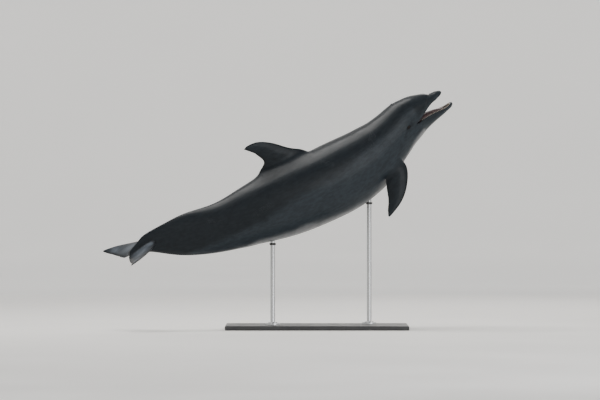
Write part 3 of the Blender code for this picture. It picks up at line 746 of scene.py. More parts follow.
def set_in(mesh, tree, centre, axes, steps, rings, ball=None, marks=None):
    """Set a feature into the skin: rings of faces that run in from a patch's rim.

    axes are the directions along the feature's width, up its height and out of the skin.
    A ball gives the eye's centre, its radius and the rims that wrap it.  marks names the
    attribute that grows from rim to middle."""
    wide, tall, outward = axes
    edges, order = open_patch(mesh, nearest_vert(mesh, centre), steps)
    start, step = rim_turn(order, wide, tall)
    number = mesh.verts.layers.int["spot"]
    for place, vert in enumerate(order):
        vert[number] = place
    for level, (half, up, down, bend, rise) in enumerate(rings):
        verts, edges = grown_parts(bmesh.ops.extrude_edge_only(mesh, edges=edges))
        for vert in verts:
            turn = start + step * vert[number]
            x = math.cos(turn)
            y = squeeze(math.sin(turn), LID_SHAPE[0] if ball and level > 1 else 1.0)
            y = y * (up if y > 0.0 else down) + bend * x * x
            spot = centre + (wide * half * x + tall * y) * MM
            found = tree.ray_cast(spot + outward * 80.0 * MM, -outward)[0]
            vert.co = (found or spot) + outward * rise * MM
            if marks:
                vert[mesh.verts.layers.float[marks]] = (level + 1.0) / len(rings)
    if ball:
        heart, radius, opening = ball
        for half, up, down, lift, floor in opening:
            verts, edges = grown_parts(bmesh.ops.extrude_edge_only(mesh, edges=edges))
            for vert in verts:
                turn = start + step * vert[number]
                x = half * MM * math.cos(turn)
                y = squeeze(math.sin(turn), LID_SHAPE[1])
                y *= (up if y > 0.0 else down) * MM
                high = math.sqrt(max(0.0, radius * radius - x * x - y * y)) + lift * MM
                vert.co = heart + wide * x + tall * y + outward * max(high, floor * MM)
                vert[mesh.verts.layers.float["lid"]] = 1.0
    bmesh.ops.contextual_create(mesh, geom=edges)


def soften_feet(mesh):
    """Blend the ends of the fins into the body, and the tail's end between the flukes."""
    places = fin_frames()
    spots = [(spine(1.0)[0], SOFT_NOTCH)]
    for name, kind, _, rows, columns, _ in FINS:
        if kind in SOFT_FEET:
            front, rear = SOFT_FEET[kind]
            spots += [(places[name][0][0], front), (body_ring(rows[-1])[columns[1]], rear)]
    for spot, (reach, rounds) in spots:
        for turn in range(rounds):
            near = reach * (1.0 - 0.5 * turn / rounds)
            verts = [vert for vert in mesh.verts if (vert.co - spot).length < near]
            bmesh.ops.smooth_vert(mesh, verts=verts, factor=0.5, use_axis_x=True,
                                  use_axis_y=True, use_axis_z=True)


def set_in_features(mesh, eye):
    """Eyelids, ears, blowhole, navel and belly slit, each set into the skin."""
    tree = BVHTree.FromBMesh(mesh)
    _, forward, upward = spine(GAPE)
    width, up, down = eye.opening_width / 2.0 / MM, eye.opening_up / MM, eye.opening_down / MM
    for hand in (1.0, -1.0):
        outward = SIDEWAYS * hand
        heart = eye_centre(hand)
        tilt = Matrix.Rotation(EYE_TILT * hand, 3, SIDEWAYS)
        wide, tall = tilt @ forward, tilt @ upward
        opening = [(width + wider, up + higher, down + lower, lift, floor)
                   for wider, higher, lower, lift, floor in LID_RIMS]
        share, lift, floor = LID_CLOSE
        opening.append((width * share, up * share, down * share, lift, floor))
        set_in(mesh, tree, heart + outward * LIDS_OUT, (wide, tall, outward), 4, EYELIDS,
               ball=(heart, eye.radius, opening), marks="lid")
        back, side, level = EAR_PLACE
        set_in(mesh, tree, head_point(back, hand * side, level), (forward, upward, outward), 1,
               EAR_PINHOLE, marks="pit")
    station, side, height = BLOWHOLE_PLACE
    point, forward, upward = spine(station)
    set_in(mesh, tree, point + upward * height + SIDEWAYS * side, (SIDEWAYS, forward, upward), 3,
           BLOWHOLE, marks="pit")
    for station, steps, rings in ((NAVEL_STATION, 1, NAVEL), (SLIT_STATION, 3, BELLY_SLIT)):
        point, forward, upward = spine(station)
        low = point + upward * glide(BODY, 4, station)
        set_in(mesh, tree, low, (forward, SIDEWAYS, -upward), steps, rings, marks="pit")


def read(data, name):
    """A point attribute of a mesh as an array."""
    values = np.zeros(len(data.vertices))
    data.attributes[name].data.foreach_get("value", values)
    return values


def vectors(data, kind):
    """The places (co) or normals (normal) of a mesh's vertices, one row each."""
    values = np.empty(len(data.vertices) * 3)
    data.vertices.foreach_get(kind, values)
    return values.reshape(-1, 3)


def write(data, name, values):
    """Store an array on a mesh as a point attribute."""
    values = np.asarray(values, dtype=np.float32)
    kind = "FLOAT" if values.ndim == 1 else "FLOAT_VECTOR"
    layer = data.attributes.get(name) or data.attributes.new(name, kind, "POINT")
    layer.data.foreach_set("value" if kind == "FLOAT" else "vector", values.ravel())


def straighten(points):
    """Distance back, side and level of points, as if the spine were straight."""
    stations = np.linspace(0.0, 1.0, 501)
    knots = [spine(station) for station in stations]
    centre, forward, upward = (np.array(column) for column in zip(*knots))
    near = np.empty(len(points), dtype=int)
    chunk = 4000
    for low in range(0, len(points), chunk):
        part = points[low:low + chunk, None, :] - centre[None, :, :]
        near[low:low + chunk] = (part[:, :, 0] ** 2 + part[:, :, 2] ** 2).argmin(axis=1)
    offset = points - centre[near]
    back = stations[near] * LENGTH - (offset * forward[near]).sum(axis=1)
    return np.column_stack((back, points[:, 1], (offset * upward[near]).sum(axis=1)))


def wander(points, scale, seed):
    """Soft noise from -1 to 1 at many points."""
    shift = Vector((seed * 17.3, seed * 5.1, seed * 9.7))
    return np.array([noise.noise(Vector(point) * scale + shift) for point in points])


def fin_share(data):
    """How far out on a fin each point lies: 0 on the body, 1 at a tip."""
    return np.maximum.reduce([read(data, kind) for kind in ("dorsal", "flipper", "fluke")])


def skin_folds(data, skin, lie):
    """How far each point stands out: beak crease, mouth corner, throat, muscle, armpits."""
    back, side, level = lie.T
    station = back / LENGTH
    calm = 1.0
    for name, full in (("lid", 0.25), ("pit", 0.3), ("inside", 0.5)):
        calm = calm * (1.0 - ramp(0.0, full, read(data, name)))

    # The crease where the melon meets the beak: over the top and down towards the gape.
    spread = np.degrees(np.arctan2(level + 0.02, np.abs(side) + 1e-6))
    path = 0.087 + 0.062 * ramp(75.0, 12.0, spread)
    strength = ramp(4.0, 22.0, spread) * ramp(0.30, 0.9, read(data, "jaw")) * calm
    groove = hump(back, path, 0.0075)
    brow = hump(back, path + 0.030, 0.024)
    move = skin.crease_depth * strength * (0.75 * brow - groove)

    # The corner of the mouth runs back and up in a short fold.
    run = (back - 0.270) / 0.052
    line = -0.060 + 0.016 * run ** 2
    fold = hump(level, line, 0.0045) * ramp(-0.2, 0.1, run) * ramp(1.15, 0.7, run)
    cheek = hump(level, line - 0.014, 0.010) * ramp(-0.1, 0.3, run) * ramp(1.5, 0.8, run)
    outer = ramp(0.06, 0.09, np.abs(side))
    move += outer * calm * (0.0020 * cheek - 0.0030 * fold)

    # Shallow throat grooves, and the soft swell of muscle and blubber.
    under = ramp(-0.10, -0.15, level) * ramp(0.12, 0.06, np.abs(side))
    for start in (0.335, 0.362):
        bow = start + 0.35 * np.abs(side)
        move -= 0.0010 * hump(back, bow, 0.006) * under * calm
    flesh = ramp(0.12, 0.30, station) * (1.0 - ramp(0.0, 0.12, fin_share(data)))
    move += flesh * calm * skin.swell * wander(lie * (1.0, 1.6, 1.6), 3.1, 1)

    # Folds behind the flippers' roots.
    foot = ramp(0.287, 0.296, station) * ramp(0.325, 0.305, station)
    low = hump(level, -0.190, 0.050) * ramp(0.06, 0.10, np.abs(side))
    return move + 0.0012 * foot * low * calm * np.sin(back * 2.0 * np.pi / 0.021)


def edge_nicks(data, skin, lie):
    """How nicks and waves move the thin trailing edges of the fins."""
    rear = ramp(0.80, 1.0, read(data, "chord")) * ramp(0.02, 0.15, fin_share(data))
    jag = wander(lie, 26.0, 3) + 0.6 * wander(lie, 70.0, 4)
    bite = np.minimum(0.0, jag + 0.10) * rear * skin.edge_wear
    places = fin_frames()
    move = np.zeros(lie.shape)
    for name, kind, hand, *_ in FINS:
        mine = ramp(0.0, 0.1, read(data, kind))
        if hand:
            mine = mine * (lie[:, 1] * hand > 0.0)
        move += np.outer(bite * mine, places[name][0][1])
    return move


def shape_details(data, skin):
    """Give the skin its folds, the notch between its flukes and its worn fin edges."""
    points = vectors(data, "co")
    lie = straighten(points)
    back, side, _ = lie.T
    points += vectors(data, "normal") * skin_folds(data, skin, lie)[:, None]
    # The end of the tail sinks between the flukes, which leaves their notch.
    notch = 0.024 * hump(side, 0.0, 0.028) * ramp(2.452, 2.490, back)
    points += np.outer(notch, spine(1.0)[1]) + edge_nicks(data, skin, lie)
    data.vertices.foreach_set("co", points.ravel())
    data.update()


def fluke_sheen_patches(data, points, side, drift):
    """Pale patches on the flukes, a painted reflection of the bright sky, stronger on the upper
    faces that face it.
    """
    places = fin_frames()
    patch = np.zeros(len(points))
    for name, kind, hand, *_ in FINS:
        if kind != "fluke":
            continue
        (origin, backward, outward), normal = places[name]
        offset = points - np.array(origin)
        rear = offset @ np.array(backward)
        out = offset @ np.array(outward)
        middle = along([(lead[1], lift) for lead, _, _, lift in FLUKE], out)
        sky_facing = ramp(-0.003, 0.003, offset @ np.array(normal) - middle)
        mine = ramp(0.02, 0.15, read(data, kind)) * (side * hand > 0.0)
        light = 0.9 * hump(out, 0.115, 0.050) * hump(rear, 0.105 + 0.5 * (out - 0.10), 0.050)
        light += 0.7 * hump(out, 0.240, 0.045) * hump(rear, 0.195, 0.030)
        light += 0.9 * hump(out, 0.055, 0.030) * hump(rear, 0.020, 0.032)
        light += 0.20 * ramp(0.05, 0.10, out) * ramp(0.30, 0.22, out)
        light += 0.60 * hump(out, 0.045, 0.035) * hump(rear, 0.120, 0.060)
        # The patches are a painted reflection of the sky, so the upper face, which faces it, gets
        # the most.
        patch += mine * light * (1.0 + 6.0 * drift) * (0.35 + 0.65 * sky_facing)
    return np.clip(patch, 0.0, 1.0)


def head_tones(tone, lie, jaw, drift):
    """A dark upper beak, a pale lower jaw, and a dark eye patch, bridle and streak."""
    back, side, level = lie.T
    upper = ramp(0.2, 0.8, jaw)
    lower = ramp(0.2, 0.8, -jaw)
    tone = tone * (1.0 - upper) + upper * (0.10 + 0.26 * ramp(0.03, -0.03, level + drift * 0.2))
    tone = tone * (1.0 - lower) + lower * (0.32 + 0.44 * ramp(-0.095, -0.165, level))
    eye_back, _, eye_level = EYE_PLACE
    eye_gap = np.hypot((back - eye_back) / 1.5, level - eye_level)
    ring = ramp(0.045, 0.014, eye_gap) * ramp(0.08, 0.11, np.abs(side))
    tone -= 0.40 * ring * tone
    bridle = hump(level, 0.002 - 0.12 * (back - 0.14), 0.012)
    tone -= 0.25 * bridle * ramp(0.13, 0.19, back) * ramp(0.36, 0.30, back) * tone
    streak = hump(level, eye_level - 0.62 * (back - 0.36), 0.020)
    return tone - 0.30 * streak * ramp(0.36, 0.40, back) * ramp(0.60, 0.48, back) * tone


def mark_details(data):
    """Tone, fin borders, fluke patches of painted reflection, flesh, lid rims and straightened
    places of the skin.
    """
    points = vectors(data, "co")
    lie = straighten(points)
    back, side, level = lie.T
    station = back / LENGTH
    drift = 0.045 * wander(lie, 4.0, 5) + 0.020 * wander(lie, 14.0, 6)
    jaw, chord = read(data, "jaw"), read(data, "chord")

    # Dark above and pale below, with a light blaze up each flank ahead of the fin.
    top, bottom = along(BODY, station, 3), along(BODY, station, 4)
    height = (level - bottom) / (top - bottom)
    rise = height + drift
    cape, white = along(CAPE, station), along(WHITE, station)
    tone = 0.45 * ramp(cape + 0.13, cape - 0.13, rise)
    tone += 0.55 * ramp(white + 0.09, white - 0.08, rise)
    tone = head_tones(tone, lie, jaw, drift)
    blaze = hump(height, 0.66 + 0.9 * (station - 0.22), 0.075)
    tone += 0.08 * blaze * ramp(0.16, 0.22, station) * ramp(0.44, 0.34, station)

    # Fins are dark, with darker borders; the flukes carry pale patches of painted sky reflection
    # above.
    share = ramp(0.02, 0.22, fin_share(data))
    tone = tone * (1.0 - share) + (0.06 + 0.10 * hump(chord, 0.5, 0.25)) * share
    border = share * np.maximum(ramp(0.12, 0.0, chord), ramp(0.86, 1.0, chord))
    write(data, "tone", np.clip(tone, 0.0, 1.0))
    write(data, "border", border)
    # The attribute patch holds the flukes' painted sky reflection.
    write(data, "patch", fluke_sheen_patches(data, points, side, drift) * (1.0 - border))

    # The mouth's lining ends behind the tips of the jaws.
    lips = ramp(0.2, 0.8, jaw) * ramp(0.024, 0.006, back)
    lips += ramp(0.2, 0.8, -jaw) * ramp(0.004, -0.014, back)
    write(data, "flesh", ramp(0.15, 0.75, read(data, "inside")) * (1.0 - lips))
    write(data, "rim", ramp(0.55, 1.0, read(data, "lid")))
    write(data, "lie", lie)


# ---------------------------------------------------------------- finishes
class Finish:
    """A Principled material, its nodes added and joined by short calls."""

    def __init__(self, name, colour, roughness, **plain):
        self.material = bpy.data.materials.new(name)
        self.material.use_nodes = True
        self.tree = self.material.node_tree
        self.shader = self.tree.nodes["Principled BSDF"]
        self.set("Base Color", (*colour, 1.0))
        self.set("Roughness", roughness)
        for socket, value in plain.items():
            self.set(socket.replace("_", " "), value)

    def set(self, socket, value):
        """Give one of the shader's sockets a value or another node's output."""
        self.feed(self.shader.inputs[socket], value)

    def feed(self, socket, value):
        """Give any socket a value or another node's output."""
        if isinstance(value, bpy.types.NodeSocket):
            self.tree.links.new(value, socket)
        elif value is not None:
            socket.default_value = value

    def node(self, kind, *inputs, **named):
        """Add a node.  Capitalised names are its inputs, the others its own settings."""
        made = self.tree.nodes.new("ShaderNode" + kind)
        for name, value in named.items():
            if name[0].isupper():
                self.feed(made.inputs[name], value)
            else:
                setattr(made, name, value)
        for socket, value in zip(made.inputs, inputs):
            self.feed(socket, value)
        return made

    def attribute(self, name, vector=False):
        """A point attribute of the piece, as a number or a vector."""
        made = self.node("Attribute", attribute_name=name)
        return made.outputs["Vector" if vector else "Fac"]

    def place(self):
        """Object coordinates."""
        return self.node("TexCoord").outputs["Object"]

    def stretch(self, vector, scale):
        """A vector with each of its axes scaled."""
        return self.node("Mapping", vector, Scale=scale).outputs[0]

    def noise(self, vector, scale, detail=2.0, roughness=0.5, distortion=0.0):
        """Soft noise about 0.5."""
        return self.node("TexNoise", vector, Scale=scale, Detail=detail, Roughness=roughness,
                         Distortion=distortion).outputs["Fac"]

    def math(self, operation, *values):
        """One Math node."""
        return self.node("Math", *values, operation=operation).outputs[0]

    def plus(self, first, second):
        """The sum of two values."""
        return self.math("ADD", first, second)

    def times(self, first, second):
        """The product of two values."""
        return self.math("MULTIPLY", first, second)

    def join(self, x, y, z=0.0):
        """A vector of three values."""
        return self.node("CombineXYZ", x, y, z).outputs[0]

    def size(self, vector):
        """The length of a vector."""
        return self.node("VectorMath", vector, operation="LENGTH").outputs["Value"]

    def fit(self, value, low, high, start=0.0, end=1.0):
        """A value mapped from one range to another, eased and held at the ends."""
        made = self.node("MapRange", value, low, high, start, end, interpolation_type="SMOOTHSTEP")
        return made.outputs["Result"]

    def blend(self, share, first, second, kind="MIX"):
        """Mix two colours, each a node's output or red, green and blue."""
        made = self.node("Mix", data_type="RGBA", blend_type=kind)
        self.feed(made.inputs[0], share)
        for socket, value in zip(made.inputs[6:8], (first, second)):
            if not isinstance(value, bpy.types.NodeSocket):
                value = (*value, 1.0)
            self.feed(socket, value)
        return made.outputs[2]

    def bump(self, height, distance, strength=1.0, under=None):
        """Raise the surface by a height; a second bump may lie under it."""
        return self.node("Bump", Strength=strength, Distance=distance, Height=height,
                         Normal=under).outputs[0]


def rake_marks(finish, lie):
    """Pale parallel scratches in a few groups, as a mask."""
    total = None
    wobble = finish.times(finish.noise(lie, 9.0), 0.012)
    for back, level, hand, turn, length, lines in RAKES:
        moved = finish.node("Mapping", lie, vector_type="TEXTURE", Location=(back, 0.0, level),
                            Rotation=(0.0, math.radians(turn), 0.0))
        parts = finish.node("SeparateXYZ", moved.outputs[0])
        reach = finish.math("ABSOLUTE", parts.outputs["X"])
        ends = finish.fit(reach, length * 0.5, length * 0.36)
        spread = finish.plus(parts.outputs["Z"], wobble)
        width = lines * RAKE_GAP
        sides = finish.fit(finish.math("ABSOLUTE", finish.math("SUBTRACT", spread, 0.010)),
                           width * 0.5, width * 0.46)
        comb = finish.math("SINE", finish.times(spread, 2.0 * math.pi / RAKE_GAP))
        line = finish.fit(comb, 0.80, 0.98)
        flank = finish.fit(finish.node("SeparateXYZ", lie).outputs["Y"], 0.01 * hand, 0.04 * hand)
        mask = finish.times(finish.times(ends, sides), finish.times(line, flank))
        total = mask if total is None else finish.math("MAXIMUM", total, mask)
    return finish.times(total, finish.fit(finish.noise(lie, 60.0, 3.0), 0.40, 0.56))


def skin_finish(skin, mouth):
    """Wet slate skin, darker above and pale below, with the mouth's lining."""
    finish = Finish("dolphin_skin", skin.back_colour, skin.roughness,
                    Coat_Weight=skin.wetness, Coat_Roughness=0.12, Coat_IOR=1.33, IOR=1.38,
                    Specular_IOR_Level=0.18)
    lie = finish.attribute("lie", vector=True)
    flow = finish.stretch(lie, (0.45, 1.0, 1.0))
    cloud = finish.noise(flow, 9.0, 4.0, 0.55)
    speck = finish.noise(flow, 60.0, 3.0, 0.6)
    shade = finish.plus(finish.attribute("tone"), finish.fit(cloud, 0.25, 0.75, -0.07, 0.07))
    colour = finish.blend(finish.fit(shade, 0.03, 0.45), skin.back_colour, skin.flank_colour)
    colour = finish.blend(finish.fit(shade, 0.48, 0.98), colour, skin.belly_colour)
    # Painted sky reflection on the flukes.
    colour = finish.blend(finish.attribute("patch"), colour, skin.sheen_patch_colour)
    border = finish.times(finish.attribute("border"), 0.55)
    colour = finish.blend(border, colour, skin.edge_colour)
    streak = finish.noise(finish.stretch(lie, (6.0, 90.0, 90.0)), 1.0, 3.0, 0.6)
    value = finish.fit(finish.plus(speck, finish.times(streak, 0.5)), 0.45, 1.05, 0.80, 1.22)
    colour = finish.blend(1.0, colour, finish.join(value, value, value), "MULTIPLY")
    rakes = rake_marks(finish, lie)
    colour = finish.blend(finish.times(rakes, 0.45), colour, skin.scar_colour)

    vein = finish.noise(lie, 55.0, 4.0, 0.6, 0.4)
    lining = finish.blend(finish.fit(vein, 0.35, 0.70), mouth.lining_colour, mouth.lining_dark)
    colour = finish.blend(finish.attribute("flesh"), colour, lining)
    rim = finish.times(finish.attribute("rim"), 0.6)
    finish.set("Base Color", finish.blend(rim, colour, skin.edge_colour))
    damp = finish.noise(flow, 22.0, 3.0, 0.6)
    finish.set("Roughness", finish.fit(damp, 0.3, 0.7, skin.roughness - 0.06,
                                       skin.roughness + 0.08))

    normal = finish.bump(finish.noise(lie, 240.0, 3.0, 0.6), 0.00020, 0.5)
    normal = finish.bump(cloud, 0.0010, 0.6, normal)
    finish.set("Normal", finish.bump(rakes, 0.0004, 0.8, normal))
    return finish


def eye_finish(eye):
    """Dark brown iris with fine rays, a wide, low black pupil and a dark rim."""
    finish = Finish("dolphin_eye", eye.iris_colour, 0.05, IOR=1.36, Specular_IOR_Level=0.28)
    parts = finish.node("SeparateXYZ", finish.attribute("gaze", vector=True))
    x, y = parts.outputs["X"], parts.outputs["Y"]
    radius = finish.size(finish.join(x, y))
    turn = finish.math("ARCTAN2", y, x)
    rays = finish.noise(finish.join(finish.times(turn, 6.0), finish.times(radius, 2.0)),
                        3.0, 4.0, 0.7)
    iris = finish.blend(finish.fit(rays, 0.30, 0.75), eye.iris_colour, eye.iris_light)
    colour = finish.blend(finish.fit(radius, 0.44, 0.60), iris, eye.rim_colour)
    wide = finish.math("POWER", finish.times(x, 1.0 / 0.34), 2.0)
    tall = finish.math("POWER", finish.times(finish.plus(y, 0.02), 1.0 / 0.20), 2.0)
    pupil = finish.fit(finish.plus(wide, tall), 1.15, 0.85)
    finish.set("Base Color", finish.blend(pupil, colour, (0.002, 0.002, 0.003)))
    return finish


def plain_finish(name, colour, dark, roughness, scale, grain, **more):
    """A surface of one substance, clouded towards a darker shade and finely grained."""
    finish = Finish(name, colour, roughness, **more)
    place = finish.place()
    cloud = finish.noise(place, scale, 4.0, 0.6)
    finish.set("Base Color", finish.blend(finish.fit(cloud, 0.35, 0.70), colour, dark))
    finish.set("Roughness", finish.fit(finish.noise(place, scale * 2.3, 3.0), 0.3, 0.7,
                                       roughness * 0.85, roughness * 1.15))
    finish.set("Normal", finish.bump(finish.noise(place, scale * 6.0, 3.0), grain))
    return finish


# ---------------------------------------------------------------- settings
def length(name, words, value):
    """A length property, in metres."""
    return FloatProperty(name=name, description=words, default=value, min=0.0,
                         subtype="DISTANCE", unit="LENGTH", precision=4)


def share(name, words, value):
    """A property from 0 to 1."""
    return FloatProperty(name=name, description=words, default=value, min=0.0, max=1.0,
                         subtype="FACTOR")


def amount(name, words, value, unit="NONE"):
    """A plain number, or a lamp's power."""
    return FloatProperty(name=name, description=words, default=value, min=0.0, unit=unit)


def colour(name, words, value):
    """A colour property."""
    return FloatVectorProperty(name=name, description=words, default=value, size=3, min=0.0,
                               max=1.0, subtype="COLOR")


class DOLPHIN_PG_skin(bpy.types.PropertyGroup):
    """Sizes and colours of the skin."""
    crease_depth: length("Beak Crease", "Depth of the crease between beak and melon", 0.0034)
    swell: length("Swell", "Height of the soft swell of muscle and blubber", 0.0020)
    edge_wear: length("Edge Wear", "Depth of the nicks in the trailing edges", 0.0045)
    roughness: share("Roughness", "Roughness of the wet skin", 0.38)
    wetness: share("Wetness", "Weight of the film of water", 0.10)
    back_colour: colour("Back", "Colour of the cape over the back", (0.009, 0.012, 0.015))
    flank_colour: colour("Flank", "Colour of the flanks", (0.021, 0.027, 0.033))
    belly_colour: colour("Belly", "Colour of throat and belly", (0.145, 0.150, 0.156))
    # Colour of the painted sky reflection on the flukes.
    sheen_patch_colour: colour("Fluke Patches", "Pale patches on the flukes", (0.072, 0.084, 0.100))
    edge_colour: colour("Borders", "Dark borders of fins and eyelids", (0.005, 0.006, 0.008))
    scar_colour: colour("Scars", "Old scratches", (0.060, 0.068, 0.076))


class DOLPHIN_PG_eye(bpy.types.PropertyGroup):
    """Sizes and colours of the eyes."""
    radius: length("Eyeball Radius", "Radius of the eyeball", 0.0149)
    opening_width: length("Opening Width", "Width between the corners of the lids", 0.0262)
    opening_up: length("Opening Above", "Height of the opening above its middle", 0.0080)
    opening_down: length("Opening Below", "Height of the opening below its middle", 0.0070)
    iris_colour: colour("Iris", "Colour of the iris", (0.006, 0.004, 0.003))
    iris_light: colour("Iris Rays", "Lighter rays of the iris", (0.015, 0.009, 0.006))
    rim_colour: colour("Eye Rim", "Ring round the iris", (0.008, 0.007, 0.007))


class DOLPHIN_PG_mouth(bpy.types.PropertyGroup):
    """Sizes and colours of teeth, gums and tongue."""
    tooth_count: IntProperty(name="Teeth in a Row", description="Teeth on one side of one jaw",
                             default=22, min=2, max=30)
    tooth_radius: length("Tooth Radius", "Radius of a tooth at the gum", 0.0031)
    tooth_height: length("Tooth Height", "Height of a tooth over the gum", 0.0090)
    tooth_colour: colour("Teeth", "Colour of the teeth", (0.480, 0.430, 0.330))
    gum_colour: colour("Gums", "Colour of the gums", (0.062, 0.043, 0.045))
    lining_colour: colour("Mouth Lining", "Colour inside the mouth", (0.052, 0.034, 0.036))
    lining_dark: colour("Mouth Shade", "Darker flesh in the mouth", (0.022, 0.018, 0.020))
    tongue_colour: colour("Tongue", "Colour of the tongue", (0.098, 0.056, 0.057))


class DOLPHIN_PG_stand(bpy.types.PropertyGroup):
    """Sizes and colours of the display stand."""
    base_colour: colour("Base", "Colour of the base", (0.030, 0.031, 0.033))
    rod_colour: colour("Rods", "Colour of the steel rods", (0.460, 0.470, 0.480))
    collar_height: length("Collar", "Height of the rubber collar under the belly", 0.0140)
    screw_radius: length("Screw Radius", "Radius of a foot screw's head", 0.0055)


class DOLPHIN_PG_stage(bpy.types.PropertyGroup):
    """Floor, lights and camera."""
    floor_colour: colour("Floor", "Colour of floor and backdrop", (0.720, 0.710, 0.690))
    lens: amount("Lens", "Focal length of the camera, in mm", 210.0)
    distance: length("Camera Distance", "From the camera to the animal's middle", 23.6875)
    sky: amount("Sky", "Strength of the light from all round", 0.34)
    backdrop: amount("Backdrop", "Glow of the far backdrop", 0.60)
    key: amount("Key Light", "Power of the light above the back", 560.0, "POWER")
    fill: amount("Fill Light", "Power of the front light", 200.0, "POWER")
    back: amount("Back Light", "Power of the light on the far side", 200.0, "POWER")


# ---------------------------------------------------------------- operators
class DOLPHIN_OT_skin(bpy.types.Operator):
    """Build the whole skin, with lids and folds"""
    bl_idname = "dolphin.skin"
    bl_label = "Skin"

    def execute(self, context):
        scene = context.scene
        skin = scene.dolphin_skin
        mesh = smooth_skin()
        for name in ("lid", "pit"):
            mesh.verts.layers.float.new(name)
        soften_feet(mesh)
        set_in_features(mesh, scene.dolphin_eye)
        face_out(mesh)
        obj = show("dolphin_skin", mesh)
        shape_details(obj.data, skin)
        mark_details(obj.data)
        obj.data.transform(LEAP)
        settle(obj, skin_finish(skin, scene.dolphin_mouth), "skin", *FLESH)
        return {"FINISHED"}


class DOLPHIN_OT_eyes(bpy.types.Operator):
    """Build both eyeballs"""
    bl_idname = "dolphin.eyes"
    bl_label = "Eyes"

    def execute(self, context):
        eye = context.scene.dolphin_eye
        finish = eye_finish(eye)
        _, forward, upward = spine(GAPE)
        for name, hand in (("left", 1.0), ("right", -1.0)):
            mesh = bmesh.new()
            bmesh.ops.create_uvsphere(mesh, u_segments=48, v_segments=32, radius=1.0)
            places = [vert.co.copy() for vert in mesh.verts]
            for vert in mesh.verts:
                vert.co *= 1.0 + 0.05 * float(ramp(0.74, 1.0, vert.co.z))
            outward = SIDEWAYS * hand
            turn = Matrix((forward, upward, outward)).transposed()
            place = Matrix.Translation(eye_centre(hand)) @ (turn * eye.radius).to_4x4()
            bmesh.ops.transform(mesh, verts=mesh.verts, matrix=LEAP @ place)
            face_out(mesh)
            obj = show("eyeball_" + name, mesh)
            write(obj.data, "gaze", np.array(places))
            settle(obj, finish, "eye", "eye_" + name)
        return {"FINISHED"}


class DOLPHIN_OT_teeth(bpy.types.Operator):
    """Build the rows of teeth and their gums"""
    bl_idname = "dolphin.teeth"
    bl_label = "Teeth"

    def execute(self, context):
        mouth = context.scene.dolphin_mouth
        ivory = plain_finish("dolphin_tooth", mouth.tooth_colour, (0.35, 0.29, 0.20), 0.22,
                             90.0, 0.00008, Coat_Weight=0.5, Coat_Roughness=0.06)
        gum = plain_finish("dolphin_gum", mouth.gum_colour, mouth.lining_dark, 0.28, 60.0,
                           0.0003, Coat_Weight=0.3, Coat_Roughness=0.20)
        for jaw in JAWS:
            line = tooth_line(jaw)
            teeth = bmesh.new()
            gums = bmesh.new()
            rise = JAWS[jaw][-1]
            self.teeth(teeth, mouth, line, rise)
            self.gum(gums, mouth, line, rise)
            for mesh, words, finish in ((teeth, "teeth_", ivory), (gums, "gums_", gum)):
                face_out(mesh)
                mesh.transform(LEAP)
                settle(show(words + jaw, mesh), finish, "skin_pale")
        return {"FINISHED"}

    @staticmethod
    def teeth(mesh, mouth, line, rise):
        """Both rows of a jaw: cones that lean back, each rounded at its tip.

        The first and the last stand a quarter of a step from the ends of the line."""
        count = 2 * mouth.tooth_count
        back_lean, in_lean = TOOTH_LEAN
        for number in range(count):
            (back, side, level), _ = on_line(line, line[0][-1] * (number + 0.25) / (count - 0.5))
            part = abs(2.0 * number / (count - 1.0) - 1.0)
            size = 0.74 + 0.26 * math.sin(math.pi * min(1.0, 0.15 + 0.8 * (1.0 - part)))
            radius = mouth.tooth_radius * size
            high = mouth.tooth_height * size + GUM_HEIGHT
            verts = bmesh.ops.create_cone(mesh, cap_ends=True, segments=10, radius1=radius,
                                          radius2=radius, depth=1.0)["verts"]
            faces = once(face for vert in verts for face in vert.link_faces)
            top = [face for face in faces if all(vert.co.z > 0.4 for vert in face.verts)]
            everything = list(verts)
            for stop, wide in TOOTH_RINGS:
                grown = bmesh.ops.extrude_face_region(mesh, geom=top)
                bmesh.ops.delete(mesh, geom=top, context="FACES_ONLY")
                fresh, top = grown_parts(grown, edges=False)
                grow = wide * radius / math.hypot(fresh[0].co.x, fresh[0].co.y)
                for vert in fresh:
                    vert.co = (vert.co.x * grow, vert.co.y * grow, 0.5 + stop)
                everything += fresh
            for vert in everything:
                climb = (vert.co.z - 0.5) * high if vert.co.z > 0.4 else -TOOTH_ROOT
                lean = max(0.0, climb / high) ** 1.5
                vert.co = head_point(back + vert.co.x + back_lean * size * lean,
                                     side * (1.0 - in_lean * lean) + vert.co.y,
                                     level + rise * climb)

    @staticmethod
    def gum(mesh, mouth, line, rise):
        """One soft ridge round a jaw, swelling between the teeth and sinking at its ends."""
        sides = 8
        number = mesh.verts.layers.int.new("number")
        verts, edges = numbered_ring(mesh, number, sides, True)
        pitch = 2 * mouth.tooth_count - 0.5
        steps = 6 * mouth.tooth_count
        for step in range(steps + 1):
            if step:
                verts, edges = grown_parts(bmesh.ops.extrude_edge_only(mesh, edges=edges))
            part = step / steps
            (back, side, level), across = on_line(line, line[0][-1] * part)
            taper = min(1.0, 8.0 * part, 8.0 * (1.0 - part)) ** 0.5
            swell = 1.0 - 0.18 * math.cos(2.0 * math.pi * (part * pitch - 0.25))
            wide = GUM_WIDTH * (0.4 + 0.6 * taper)
            sink = GUM_SINK * (1.0 - taper)
            for vert in verts:
                turn = 2.0 * math.pi * vert[number] / sides
                shift = across * (wide * math.cos(turn))
                rest = GUM_HEIGHT * swell * taper * math.sin(turn) - sink
                vert.co = head_point(back + shift.x, side + shift.y, level + rise * rest)
        bmesh.ops.contextual_create(mesh, geom=edges)


